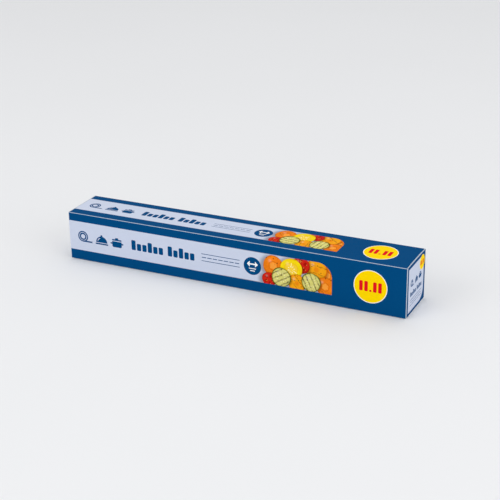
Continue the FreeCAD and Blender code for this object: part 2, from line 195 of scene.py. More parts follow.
def painted(red, green, blue):
    """A colour as it is seen, from 0 to 255, in the light values that a shader takes."""
    shares = (channel / 255 for channel in (red, green, blue))
    return tuple(s / 12.92 if s <= 0.04045 else ((s + 0.055) / 1.055) ** 2.4 for s in shares)


def colour_setting(name, description, seen):
    """A colour that a user can change."""
    return bpy.props.FloatVectorProperty(
        name=name, description=description, subtype="COLOR", size=3, min=0.0, max=1.0,
        default=painted(*seen))


def length_setting(name, description, millimetres):
    """A length that a user can change."""
    return bpy.props.FloatProperty(
        name=name, description=description, subtype="DISTANCE", unit="LENGTH", min=0.0,
        precision=5, default=millimetres * MM)


def share_setting(name, description, default, largest=1.0):
    """A share from nothing to all."""
    return bpy.props.FloatProperty(
        name=name, description=description, subtype="FACTOR", min=0.0, max=largest, default=default)


def angle_setting(name, description, degrees):
    """An angle that a user can change."""
    return bpy.props.FloatProperty(
        name=name, description=description, subtype="ANGLE", unit="ROTATION",
        default=math.radians(degrees))


class BoardSettings(bpy.types.PropertyGroup):
    """The folded cartonboard."""

    thickness: length_setting("Board", "Thickness of the board", 0.5)
    fold: length_setting("Fold radius", "Outside radius of a crease", 0.8)
    # Width of the band beside a cut edge where ink is rubbed off and a pale highlight is painted
    scuff_and_highlight: length_setting("Scuffed edge", "How far ink is rubbed off beside a cut edge", 0.45)
    # Share of pale colour along the creases and cut edges: cracked ink and a painted highlight
    wear_and_highlight: share_setting("Cracked ink", "How much board shows through along the creases", 0.75)
    blue: colour_setting("Carton blue", "Ink over the whole outside", (1, 72, 124))
    # Colour of the cut board, also used for the painted highlight along folds and edges
    bare_and_highlight: colour_setting("Bare fibre", "Board where the ink is cracked or cut", (214, 224, 234))
    inside: colour_setting("Inside", "Unprinted back of the board", (196, 187, 171))


class PrintSettings(bpy.types.PropertyGroup):
    """The inks that lie on the board."""

    film: length_setting("Ink film", "How far the ink stands over the board", 0.04)
    pale: colour_setting("Pale field", "Ink behind the words", (203, 211, 230))
    white: colour_setting("White", "Rim of the price spot and marks in the badge", (246, 247, 248))
    yellow: colour_setting("Price spot", "Ink of the round price spot", (255, 217, 2))
    red: colour_setting("Price marks", "Ink on the price spot", (225, 22, 32))
    shadow: share_setting("Picture shadow", "Depth of the soft shadow beside the picture", 0.5)


class PictureSettings(bpy.types.PropertyGroup):
    """The printed slices of food."""

    carrot: colour_setting("Carrot", "Flesh of the orange slices", (244, 128, 22))
    courgette: colour_setting("Courgette", "Flesh of the pale green slices", (222, 216, 128))
    pepper: colour_setting("Pepper", "Flesh of the bright yellow slices", (252, 222, 20))
    tomato: colour_setting("Tomato", "Flesh of the red slices", (206, 38, 22))
    squash: colour_setting("Squash", "Flesh of the amber slices", (250, 168, 24))
    char: colour_setting("Char", "Grill marks and specks", (58, 34, 18))


class RollSettings(bpy.types.PropertyGroup):
    """The cutter, the core and the foil."""

    tooth_pitch: length_setting("Tooth pitch", "Distance between the cutter's teeth", 1.5)
    tooth_height: length_setting("Tooth height", "Depth of the cutter's teeth", 1.2)
    core_wall: length_setting("Core wall", "Thickness of the wound card tube", 1.4)
    foil_sheet: length_setting("Free end", "Thickness of the foil at its free end", 0.08)
    crinkle: length_setting("Crinkle", "How far the free end is crinkled", 0.22)
    steel: colour_setting("Cutter steel", "Metal of the toothed strip", (196, 199, 203))
    kraft: colour_setting("Core card", "Wound kraft card", (176, 140, 98))
    aluminium: colour_setting("Foil", "Metal of the foil", (206, 209, 214))


class StudioSettings(bpy.types.PropertyGroup):
    """The floor, the light and the camera."""

    floor: colour_setting("Floor", "Colour of the floor and the background", (236, 237, 239))
    daylight: share_setting("Daylight", "Strength of the even light from all round", 0.76, 3.0)
    lamps: share_setting("Lamps", "Strength of the soft lamps", 0.8, 5.0)
    azimuth: angle_setting("Camera azimuth", "How far the camera stands round to the right", 25.68)
    elevation: angle_setting("Camera elevation", "How far the camera looks down", 22.83)
    roll: angle_setting("Camera roll", "Tilt of the picture", -0.884)
    distance: length_setting("Camera distance", "From the camera to what it looks at", 1086.5)
    lens: bpy.props.FloatProperty(
        name="Lens", description="Focal length in millimetres of a 36 mm sensor", min=10.0,
        default=93.26)


class CartonSettings(bpy.types.PropertyGroup):
    """All settings of the carton."""

    board: bpy.props.PointerProperty(type=BoardSettings, name="Board", description="Folded board")
    inks: bpy.props.PointerProperty(type=PrintSettings, name="Inks", description="Printed inks")
    picture: bpy.props.PointerProperty(type=PictureSettings, name="Picture", description="Slices")
    roll: bpy.props.PointerProperty(type=RollSettings, name="Roll", description="Cutter and roll")
    studio: bpy.props.PointerProperty(type=StudioSettings, name="Studio", description="Stage")


class Finish:
    """One material and the nodes that pattern it."""

    def __init__(self, name, roughness, specular=0.5, metallic=0.0):
        self.material = bpy.data.materials.get(name) or bpy.data.materials.new(name)
        self.material.use_nodes = True
        self.material.node_tree.nodes.clear()
        self.shader = self.add("ShaderNodeBsdfPrincipled")
        self.shader.inputs["Roughness"].default_value = roughness
        self.shader.inputs["Specular IOR Level"].default_value = specular
        self.shader.inputs["Metallic"].default_value = metallic
        output = self.add("ShaderNodeOutputMaterial")
        self.join(self.shader.outputs["BSDF"], output.inputs["Surface"])
        self.place = self.add("ShaderNodeTexCoord").outputs["Object"]

    def add(self, kind, **settings):
        """A new node with its settings."""
        node = self.material.node_tree.nodes.new(kind)
        for key, value in settings.items():
            setattr(node, key, value)
        return node

    def join(self, source, socket):
        """Feeds a socket with another node's output, or with a plain value."""
        if isinstance(source, bpy.types.NodeSocket):
            self.material.node_tree.links.new(source, socket)
        elif isinstance(source, (tuple, list)) and len(source) == 3 and socket.type == "RGBA":
            socket.default_value = (*source, 1.0)
        else:
            socket.default_value = source

    def calc(self, operation, first, second=0.0, third=0.0):
        """One step of arithmetic."""
        node = self.add("ShaderNodeMath", operation=operation)
        for socket, value in zip(node.inputs, (first, second, third)):
            self.join(value, socket)
        return node.outputs[0]

    def spread(self, value, low, high, start=0.0, end=1.0):
        """A soft step from start to end as the value goes from low to high."""
        node = self.add("ShaderNodeMapRange", interpolation_type="SMOOTHSTEP")
        for name, source in (("Value", value), ("From Min", low), ("From Max", high),
                             ("To Min", start), ("To Max", end)):
            self.join(source, node.inputs[name])
        return node.outputs["Result"]

    def stretched(self, factors, at=None):
        """The place on the surface, scaled by three factors."""
        node = self.add("ShaderNodeVectorMath", operation="MULTIPLY")
        self.join(at or self.place, node.inputs[0])
        node.inputs[1].default_value = factors
        return node.outputs[0]

    def cloud(self, scale, detail=2.0, at=None, rough=0.5):
        """Soft noise from 0 to 1."""
        node = self.add("ShaderNodeTexNoise")
        self.join(at or self.place, node.inputs["Vector"])
        for name, value in (("Scale", scale), ("Detail", detail), ("Roughness", rough)):
            node.inputs[name].default_value = value
        return node.outputs["Fac"]

    def cells(self, scale, at=None):
        """Scattered points: the distance to the nearest, and a value of its own for each."""
        node = self.add("ShaderNodeTexVoronoi")
        self.join(at or self.place, node.inputs["Vector"])
        node.inputs["Scale"].default_value = scale
        split = self.add("ShaderNodeSeparateColor")
        self.join(node.outputs["Color"], split.inputs[0])
        return node.outputs["Distance"], split.outputs[0]

    def mixed(self, factor, first, second, how="MIX"):
        """One colour over another."""
        node = self.add("ShaderNodeMix", data_type="RGBA", blend_type=how)
        self.join(factor, node.inputs[0])
        self.join(first, node.inputs[6])
        self.join(second, node.inputs[7])
        return node.outputs[2]

    def shaded(self, colour, low, high, value):
        """A colour made darker or lighter by a value from 0 to 1."""
        level = self.spread(value, 0.0, 1.0, low, high)
        grey = self.add("ShaderNodeCombineColor")
        for socket in grey.inputs:
            self.join(level, socket)
        return self.mixed(1.0, colour, grey.outputs[0], "MULTIPLY")

    def stored(self, name):
        """A value kept in the mesh."""
        return self.add("ShaderNodeAttribute", attribute_name=name).outputs["Fac"]

    def relief(self, height, depth, strength=1.0):
        """Small unevenness of the surface."""
        node = self.add("ShaderNodeBump")
        node.inputs["Distance"].default_value = depth
        node.inputs["Strength"].default_value = strength
        self.join(height, node.inputs["Height"])
        self.join(node.outputs[0], self.shader.inputs["Normal"])

    def colour(self, source):
        """The finished colour."""
        self.join(source, self.shader.inputs["Base Color"])
        return self.material

    def roughness(self, source):
        """A roughness that varies over the surface."""
        self.join(source, self.shader.inputs["Roughness"])


def varnished(name, colour, mottle=0.018):
    """Satin varnished ink on coated board, with the faint unevenness of print."""
    finish = Finish(name, 0.46, 0.012)
    peel = finish.cloud(900.0, 3.0)
    finish.relief(peel, 0.02 * MM, 0.2)
    finish.roughness(finish.spread(finish.cloud(260.0), 0.2, 0.8, 0.43, 0.49))
    tone = finish.cloud(420.0, 4.0)
    return finish, finish.shaded(colour, 1.0 - mottle, 1.0 + mottle, tone)


def blue_board(settings):
    """The carton's blue, cracked to unprinted fibre along creases and rubbed at cut edges; the same pale
    colour is painted there as a highlight along fold crests and edges.
    """
    finish, blue = varnished("Blue ink on coated board", tuple(settings.blue))
    ragged = finish.calc("MULTIPLY", finish.calc("SUBTRACT", finish.cloud(1400.0, 4.0), 0.5), 0.7)
    # Cracked and rubbed ink together with a painted highlight along fold crests and cut edges
    worn_and_lit = finish.calc("ADD", finish.stored("wear_and_highlight"), ragged)
    mask = finish.spread(worn_and_lit, 0.42, 0.78, 0.0, settings.wear_and_highlight)
    return finish.colour(finish.mixed(mask, blue, tuple(settings.bare_and_highlight)))


def bare_board(settings):
    """The unprinted back of the board, grey-brown with darker and lighter fibres."""
    finish = Finish("Unprinted board", 0.88, 0.25)
    fibres = finish.cloud(1.0, 3.0, finish.stretched((900.0, 3200.0, 3200.0)))
    base = finish.shaded(tuple(settings.inside), 0.88, 1.1, fibres)
    distance, pick = finish.cells(650.0, finish.stretched((0.5, 1.0, 1.0)))
    fleck = finish.calc("MULTIPLY", finish.spread(distance, 0.08, 0.26, 1.0, 0.0),
                        finish.spread(pick, 0.72, 0.78))
    finish.relief(fibres, 0.03 * MM, 0.5)
    return finish.colour(finish.mixed(finish.calc("MULTIPLY", fleck, 0.26), base, (0.12, 0.1, 0.08)))


def cut_board(settings):
    """The cut edge of the board: layers of pale fibre."""
    finish = Finish("Cut edge of the board", 0.9, 0.2)
    layers = finish.cloud(5200.0, 3.0)
    finish.relief(layers, 0.04 * MM, 0.6)
    return finish.colour(finish.shaded(tuple(settings.bare_and_highlight), 0.84, 1.04, layers))


def ink(name, colour):
    """A plain varnished ink."""
    finish, tone = varnished(name, colour)
    return finish.colour(tone)


def pale_ink(settings):
    """The pale field, which carries the picture's soft shadow."""
    finish, tone = varnished("Pale ink", tuple(settings.pale), 0.015)
    shadow = finish.spread(finish.stored("shade"), 0.0, 1.0, 1.0, 0.0)
    return finish.colour(finish.mixed(shadow, tone, (0.1, 0.1, 0.12)))


class Slice(Finish):
    """The printed picture of a slice: its place runs from -1 to 1 over the slice."""

    def __init__(self, name):
        super().__init__(name, 0.46, 0.012)
        self.relief(self.cloud(900.0, 3.0), 0.02 * MM, 0.2)
        self.local = self.add("ShaderNodeUVMap", uv_map="slice").outputs[0]
        split = self.add("ShaderNodeSeparateXYZ")
        self.join(self.local, split.inputs[0])
        self.across, self.up = split.outputs[0], split.outputs[1]
        length = self.add("ShaderNodeVectorMath", operation="LENGTH")
        self.join(self.local, length.inputs[0])
        self.radius = length.outputs["Value"]
        self.angle = self.calc("ARCTAN2", self.up, self.across)
        seed = self.calc("MULTIPLY", self.stored("seed"), 7.0)
        moved = self.add("ShaderNodeVectorMath", operation="ADD")
        offset = self.add("ShaderNodeCombineXYZ")
        self.join(seed, offset.inputs[2])
        self.join(self.local, moved.inputs[0])
        self.join(offset.outputs[0], moved.inputs[1])
        self.field = moved.outputs[0]

    def spokes(self, count, low, high):
        """Soft spokes round the middle."""
        turned = self.calc("MULTIPLY", self.angle, float(count))
        return self.spread(self.calc("COSINE", turned), low, high)

    def wobbly(self, amount, scale=3.0):
        """The distance from the middle, made uneven."""
        shift = self.calc("SUBTRACT", self.cloud(scale, 3.0, self.field), 0.5)
        return self.calc("ADD", self.radius, self.calc("MULTIPLY", shift, amount))

    def specks(self, colour, char, scale, size, share):
        """A few dark roasted specks."""
        distance, pick = self.cells(scale, self.field)
        spot = self.spread(distance, size * 0.6, size, 1.0, 0.0)
        chosen = self.spread(pick, 1.0 - share, 1.0 - share + 0.04)
        return self.mixed(self.calc("MULTIPLY", spot, chosen), colour, char)

    def grilled(self, colour, char, pitch, width, strength):
        """Dark stripes from the grill, broken and soft at their edges."""
        bent = self.calc("MULTIPLY", self.calc("SUBTRACT", self.cloud(2.5, 4.0, self.field), 0.5), 0.3)
        along = self.calc("DIVIDE", self.calc("ADD", self.across, bent), pitch)
        off = self.calc("ABSOLUTE", self.calc("SUBTRACT", self.calc("FRACT", along), 0.5))
        stripe = self.spread(off, width * 0.45, width, strength, 0.0)
        broken = self.spread(self.cloud(4.0, 5.0, self.field, 0.7), 0.36, 0.58)
        return self.mixed(self.calc("MULTIPLY", stripe, broken), colour, char)

    def printed(self, colour):
        """The finished colour, under the soft shadow of the slices that lie over it."""
        light = self.stored("shade")
        dark = self.shaded(colour, 0.12, 1.0, light)
        gleam = self.spread(self.stored("gleam"), 0.0, 1.0)
        return self.colour(self.mixed(gleam, dark, (1.0, 0.96, 0.86)))


def tinted(colour, factor, towards=(0.0, 0.0, 0.0)):
    """A colour moved by a factor towards another."""
    return tuple(c + (t - c) * factor for c, t in zip(colour, towards))


def carrot_slice(settings):
    """An orange disc with a paler core and fine rays."""
    food, flesh, char = Slice("Printed carrot"), tuple(settings.carrot), tuple(settings.char)
    uneven = food.wobbly(0.14)
    rays = food.cloud(1.0, 4.0, food.field)
    streak = food.calc("MULTIPLY", food.spokes(23, -0.2, 1.0), food.spread(food.radius, 0.3, 0.7))
    base = food.mixed(food.calc("MULTIPLY", streak, 0.3), flesh, tinted(flesh, 0.35, (1.0, 0.42, 0.05)))
    base = food.shaded(base, 0.72, 1.22, rays)
    core = food.spread(food.calc("ADD", uneven, food.calc("MULTIPLY", food.spokes(6, -1.0, 1.0), 0.07)),
                       0.3, 0.42, 1.0, 0.0)
    base = food.mixed(core, base, tinted(flesh, 0.5, (1.0, 0.48, 0.08)))
    ring = food.calc("ABSOLUTE", food.calc("SUBTRACT", uneven, 0.43))
    base = food.mixed(food.spread(ring, 0.015, 0.06, 0.55, 0.0), base, tinted(flesh, 0.4))
    rind = tinted(flesh, 0.62, (0.35, 0.05, 0.0))
    base = food.mixed(food.spread(uneven, 0.86, 0.99, 0.0, 0.75), base, rind)
    return food.printed(food.specks(base, char, 4.4, 0.3, 0.24))


def courgette_slice(settings):
    """A pale green disc with a dark rind, a ring of seeds and grill marks."""
    food, flesh, char = Slice("Printed courgette"), tuple(settings.courgette), tuple(settings.char)
    uneven = food.wobbly(0.1)
    base = food.shaded(flesh, 0.8, 1.12, food.cloud(3.5, 5.0, food.field))
    pulp = food.spread(uneven, 0.5, 0.66, 0.5, 0.0)
    base = food.mixed(pulp, base, tinted(flesh, 0.4, painted(196, 190, 70)))
    ring = food.spread(food.calc("ABSOLUTE", food.calc("SUBTRACT", food.radius, 0.42)), 0.08, 0.15, 1.0, 0.0)
    seeds = food.calc("MULTIPLY", ring, food.spokes(11, 0.35, 0.75))
    base = food.mixed(food.calc("MULTIPLY", seeds, 0.8), base, painted(240, 234, 176))
    base = food.mixed(food.spread(uneven, 0.84, 0.92, 0.0, 0.7), base, painted(168, 178, 66))
    base = food.mixed(food.spread(uneven, 0.91, 0.96), base, painted(58, 84, 30))
    return food.printed(food.grilled(base, char, 0.46, 0.2, 0.82))


def pepper_slice(settings):
    """A bright yellow ring of pepper with three pale ribs."""
    food, flesh, char = Slice("Printed pepper"), tuple(settings.pepper), tuple(settings.char)
    lobes = food.calc("MULTIPLY", food.calc("COSINE", food.calc("MULTIPLY", food.angle, 3.0)), 0.05)
    uneven = food.calc("ADD", food.wobbly(0.08), lobes)
    base = food.shaded(flesh, 0.84, 1.08, food.cloud(2.6, 4.0, food.field))
    base = food.mixed(food.spread(uneven, 0.56, 0.64, 0.85, 0.0), base, painted(236, 178, 10))
    base = food.mixed(food.spread(uneven, 0.5, 0.6, 0.75, 0.0), base, painted(250, 214, 64))
    ribs = food.calc("MULTIPLY", food.spokes(3, 0.93, 0.99), food.spread(uneven, 0.56, 0.66, 1.0, 0.0))
    base = food.mixed(ribs, base, painted(255, 240, 150))
    ring = food.spread(food.calc("ABSOLUTE", food.calc("SUBTRACT", food.radius, 0.26)), 0.05, 0.1, 1.0, 0.0)
    seeds = food.calc("MULTIPLY", ring, food.spokes(8, 0.55, 0.8))
    base = food.mixed(seeds, base, painted(255, 244, 196))
    base = food.mixed(food.spread(uneven, 0.9, 1.0, 0.0, 0.8), base, painted(222, 160, 0))
    return food.printed(food.specks(base, char, 3.1, 0.16, 0.14))


def tomato_slice(settings):
    """A red disc with darker seed chambers."""
    food, flesh = Slice("Printed tomato"), tuple(settings.tomato)
    uneven = food.wobbly(0.1)
    base = food.shaded(flesh, 0.78, 1.2, food.cloud(3.0, 4.0, food.field))
    inner = food.spread(uneven, 0.24, 0.34)
    outer = food.spread(uneven, 0.66, 0.76, 1.0, 0.0)
    between = food.calc("MULTIPLY", inner, outer)
    chamber = food.calc("MULTIPLY", food.spokes(5, -0.35, 0.25), between)
    base = food.mixed(food.calc("MULTIPLY", chamber, 0.75), base, painted(150, 14, 6))
    distance, _ = food.cells(6.0, food.field)
    seeds = food.calc("MULTIPLY", chamber, food.spread(distance, 0.2, 0.32, 1.0, 0.0))
    base = food.mixed(food.calc("MULTIPLY", seeds, 0.9), base, painted(240, 176, 74))
    base = food.mixed(food.spread(uneven, 0.9, 0.98, 0.0, 0.8), base, painted(146, 8, 8))
    return food.printed(base)


def squash_slice(settings):
    """An amber disc with a fibrous middle, an orange rind and roasted specks."""
    food, flesh, char = Slice("Printed squash"), tuple(settings.squash), tuple(settings.char)
    uneven = food.wobbly(0.12)
    base = food.shaded(flesh, 0.76, 1.14, food.cloud(5.0, 6.0, food.field, 0.65))
    base = food.mixed(food.spread(uneven, 0.16, 0.34, 0.55, 0.0), base, painted(232, 120, 16))
    base = food.mixed(food.spread(uneven, 0.86, 0.97, 0.0, 0.85), base, painted(224, 104, 12))
    base = food.grilled(base, char, 0.7, 0.11, 0.5)
    return food.printed(food.specks(base, char, 5.0, 0.28, 0.3))


def steel_finish(settings):
    """Bright cold-rolled strip with fine rolling lines."""
    finish = Finish("Cutter steel", 0.34, 0.5, 1.0)
    lines = finish.cloud(1.0, 3.0, finish.stretched((60.0, 4000.0, 9000.0)))
    finish.roughness(finish.spread(lines, 0.2, 0.8, 0.26, 0.42))
    finish.relief(lines, 0.006 * MM, 0.5)
    return finish.colour(finish.shaded(tuple(settings.steel), 0.9, 1.04, lines))


def kraft_finish(settings):
    """Wound kraft card with the seam of its spiral and its fibres."""
    finish = Finish("Wound kraft card", 0.86, 0.2)
    split = finish.add("ShaderNodeSeparateXYZ")
    finish.join(finish.place, split.inputs[0])
    angle = finish.calc("ARCTAN2", finish.calc("SUBTRACT", split.outputs[2], AXIS_Z),
                        finish.calc("SUBTRACT", split.outputs[1], AXIS_Y))
    turns = finish.calc("ADD", finish.calc("DIVIDE", angle, 2 * math.pi),
                        finish.calc("DIVIDE", split.outputs[0], 62.0 * MM))
    seam = finish.calc("ABSOLUTE", finish.calc("SUBTRACT", finish.calc("FRACT", turns), 0.5))
    line = finish.spread(seam, 0.004, 0.012, 1.0, 0.0)
    fibres = finish.cloud(1.0, 4.0, finish.stretched((700.0, 2600.0, 2600.0)))
    finish.relief(finish.calc("SUBTRACT", fibres, line), 0.05 * MM, 0.6)
    base = finish.shaded(tuple(settings.kraft), 0.84, 1.12, fibres)
    return finish.colour(finish.mixed(finish.calc("MULTIPLY", line, 0.7), base, painted(96, 70, 44)))


def foil_finish(settings):
    """Bright foil with the fine lines of its rolling, which run round the roll, and a painted reflection: the
    colour darkens along those lines and in broad patches.
    """
    finish = Finish("Aluminium foil", 0.2, 0.5, 1.0)
    lines = finish.cloud(1.0, 4.0, finish.stretched((2200.0, 30.0, 30.0)))
    broad = finish.cloud(1.0, 2.0, finish.stretched((90.0, 40.0, 40.0)))
    sharp, _ = finish.cells(1.0, finish.stretched((150.0, 110.0, 110.0)))
    finish.roughness(finish.spread(lines, 0.25, 0.75, 0.14, 0.26))
    height = finish.calc("ADD", finish.calc("MULTIPLY", lines, 0.05), finish.calc("MULTIPLY", sharp, 0.25))
    finish.relief(finish.calc("ADD", height, broad), 0.5 * MM, 0.35)
    # Painted reflection: the colour darkens along the rolling lines and in broad patches, in place of the
    # studio's reflection
    streaks_and_painted_reflection = finish.shaded(tuple(settings.aluminium), 0.72, 1.0, lines)
    painted_reflection_facets = finish.cloud(1.0, 2.0, finish.stretched(FOIL_PAINTED_REFLECTION_SCALE))
    return finish.colour(finish.shaded(streaks_and_painted_reflection, 0.66, 1.0, painted_reflection_facets))


def wound_edge_finish(settings):
    """The ends of the roll, where hundreds of foil edges lie side by side."""
    finish = Finish("Edges of the wound foil", 0.38, 0.5, 1.0)
    split = finish.add("ShaderNodeSeparateXYZ")
    finish.join(finish.place, split.inputs[0])
    rise = finish.calc("SUBTRACT", split.outputs[2], AXIS_Z)
    side = finish.calc("SUBTRACT", split.outputs[1], AXIS_Y)
    radius = finish.calc("SQRT", finish.calc("ADD", finish.calc("MULTIPLY", rise, rise),
                                             finish.calc("MULTIPLY", side, side)))
    rings = finish.add("ShaderNodeTexNoise", noise_dimensions="1D").outputs["Fac"]
    finish.join(finish.calc("MULTIPLY", radius, 16000.0), rings.node.inputs["W"])
    finish.relief(rings, 0.05 * MM, 0.7)
    return finish.colour(finish.shaded(tuple(settings.aluminium), 0.55, 1.0, rings))


def fold_arc(middle, radius, start, end, steps=8):
    """Points round a fold, from one angle to the other in degrees, each with a value for cracked ink and a
    painted highlight, strongest at the crest.
    """
    made = []
    for n in range(steps + 1):
        angle = math.radians(start + (end - start) * n / steps)
        from_crest = abs(n / steps - 0.5) * 2
        # Strongest at the crest: cracked ink there, and a painted highlight where the rounded fold would
        # catch the light
        wear_and_highlight = max(0.0, 1.0 - (from_crest / 0.62) ** 2)
        made.append((middle[0] + radius * math.cos(angle), middle[1] + radius * math.sin(angle), wear_and_highlight))
    return made


def spaced(low, high, count):
    """Evenly spaced numbers, both ends among them."""
    return [low + (high - low) * n / count for n in range(count + 1)]


class Sheet:
    """A folded sheet, laid down as its outer skin and then thickened inwards."""

    def __init__(self):
        self.mesh = bmesh.new()
        self.wear_and_highlight = self.mesh.verts.layers.float.new("wear_and_highlight")

    def vertex(self, point, wear_and_highlight=0.0):
        """One corner, with how much cracked and rubbed ink and painted highlight it carries."""
        made = self.mesh.verts.new(point)
        made[self.wear_and_highlight] = wear_and_highlight
        return made

    def weave(self, rows, keep=None, flip=False):
        """Quads between neighbouring rows of points with their cracked ink and painted highlight."""
        corners = [[self.vertex(*entry) for entry in row] for row in rows]
        for low, high in zip(corners, corners[1:]):
            for n in range(len(low) - 1):
                ring = [low[n], low[n + 1], high[n + 1], high[n]]
                middle = sum((v.co for v in ring), Vector()) / 4
                if keep is None or keep(middle):
                    self.mesh.faces.new(reversed(ring) if flip else ring)

    def flat(self, outline, flip=False):
        """One flat face through an outline."""
        ring = [self.vertex(point) for point in outline]
        self.mesh.faces.new(reversed(ring) if flip else ring)

    def finished(self, name, thickness, materials):
        """The welded sheet with its thickness: outside, inside and cut edge."""
        loose = [v for v in self.mesh.verts if not v.link_faces]
        bmesh.ops.delete(self.mesh, geom=loose, context="VERTS")
        bmesh.ops.remove_doubles(self.mesh, verts=self.mesh.verts, dist=0.001 * MM)
        mesh = bpy.data.meshes.new(name)
        self.mesh.to_mesh(mesh)
        self.mesh.free()
        for material in materials:
            mesh.materials.append(material)
        return thickened(mesh, thickness, min(1, len(materials) - 1), len(materials) - 1)


def thickened(mesh, thickness, inner, rim):
    """A skin made solid inwards, with its inside and its rim in other materials."""
    holder = bpy.data.objects.new("being_thickened", mesh)
    bpy.context.scene.collection.objects.link(holder)
    solid = holder.modifiers.new("Thickness", "SOLIDIFY")
    solid.thickness = thickness
    solid.offset = -1.0
    solid.use_even_offset = True
    solid.material_offset = inner
    solid.material_offset_rim = rim
    bpy.context.view_layer.update()
    ready = holder.evaluated_get(bpy.context.evaluated_depsgraph_get())
    done = bpy.data.meshes.new_from_object(ready)
    name = mesh.name
    bpy.data.objects.remove(holder)
    bpy.data.meshes.remove(mesh)
    done.name = name
    return done


def smoothed(mesh, degrees=32.0):
    """Rounds the shading of gentle bends and keeps sharp edges sharp."""
    mesh.shade_smooth()
    mesh.set_sharp_from_angle(angle=math.radians(degrees))
    return mesh


def placed(name, mesh, nodes=(), body=None):
    """The piece in the scene, standing for its nodes and riding on its body."""
    old = bpy.data.objects.get(name)
    if old:
        bpy.data.objects.remove(old)
    piece = bpy.data.objects.new(name, mesh)
    bpy.context.scene.collection.objects.link(piece)
    if nodes:
        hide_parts(*nodes)
    if body:
        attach(piece, body)
    return piece


def board_finishes(settings):
    """Outside, inside and cut edge."""
    return [blue_board(settings), bare_board(settings), cut_board(settings)]


def along_carton(limit, extra, step=12.0 * MM):
    """Places along X for the cuts of a long panel, with a few exact ones near both ends."""
    inner = min(extra)
    count = round(2 * inner / step)
    ends = sorted(set(extra) | {limit})
    return [-x for x in reversed(ends)] + spaced(-inner, inner, count)[1:-1] + ends


def fold_lid(settings):
    """The cover flap, the fold, the top panel and the two ears."""
    board, fold, scuff_and_highlight = settings.thickness, settings.fold, settings.scuff_and_highlight
    top_half = HALF_LENGTH - board - LID_GAP
    ear_start, ear_end = AXIS_Y - EAR_HALF_WIDTH, AXIS_Y + EAR_HALF_WIDTH
    shoulder = HEIGHT - fold
    # The flap's lower edge gets a pale line: rubbed ink and a painted highlight along the edge
    section = [(FRONT, LID_LOW.z, 0.8), (FRONT, LID_LOW.z + scuff_and_highlight * 0.6, 0.0)]
    section += [(FRONT, HEIGHT / 2, 0.0), (FRONT, shoulder - BESIDE_FOLD, 0.0)]
    section += fold_arc((FRONT + fold, shoulder), fold, 180, 90)
    for y in (FRONT + fold + BESIDE_FOLD, ear_start, ear_end, BACK - fold - BESIDE_FOLD, BACK - fold):
        section.append((y, HEIGHT, 0.0))
    scuffed_and_lit = HALF_LENGTH - scuff_and_highlight * 0.6
    columns = along_carton(HALF_LENGTH, [scuffed_and_lit, HALF_LENGTH - scuff_and_highlight, top_half, top_half - fold])
    rows = []
    # Both cut ends of the lid get a pale band: rubbed ink and a painted highlight along the edge
    for y, z, wear_and_highlight in section:
        rows.append([(Vector((x, y, z)), max(wear_and_highlight, 0.8 if abs(x) > scuffed_and_lit - 0.01 * MM else 0.0))
                     for x in columns])

    def in_board(middle):
        if middle.y < FRONT + fold:
            return True
        if abs(middle.x) > top_half:
            return False
        return not (abs(middle.x) > top_half - fold and ear_start < middle.y < ear_end)

    lid = Sheet()
    lid.weave(rows, in_board)
    for side in (-1, 1):
        bend = fold_arc((top_half - fold, shoulder), fold, 90, 0)
        rows = [[(Vector((side * x, y, z)), wear_and_highlight * 0.8) for y in (ear_start, ear_end)] for x, z, wear_and_highlight in bend]
        lid.weave(rows, flip=side > 0)
        outline = []
        for y, start in ((ear_end - EAR_CORNER, 0), (ear_start + EAR_CORNER, -90)):
            for angle in spaced(start, start - 90, 8):
                turn = math.radians(angle)
                outline.append(Vector((side * top_half, y + EAR_CORNER * math.cos(turn),
                                       EAR_FOOT + EAR_CORNER + EAR_CORNER * math.sin(turn))))
        outline += [Vector((side * top_half, y, shoulder)) for y in (ear_start, ear_end)]
        lid.flat(outline, flip=side > 0)
    return lid.finished("lid_board", board, board_finishes(settings))


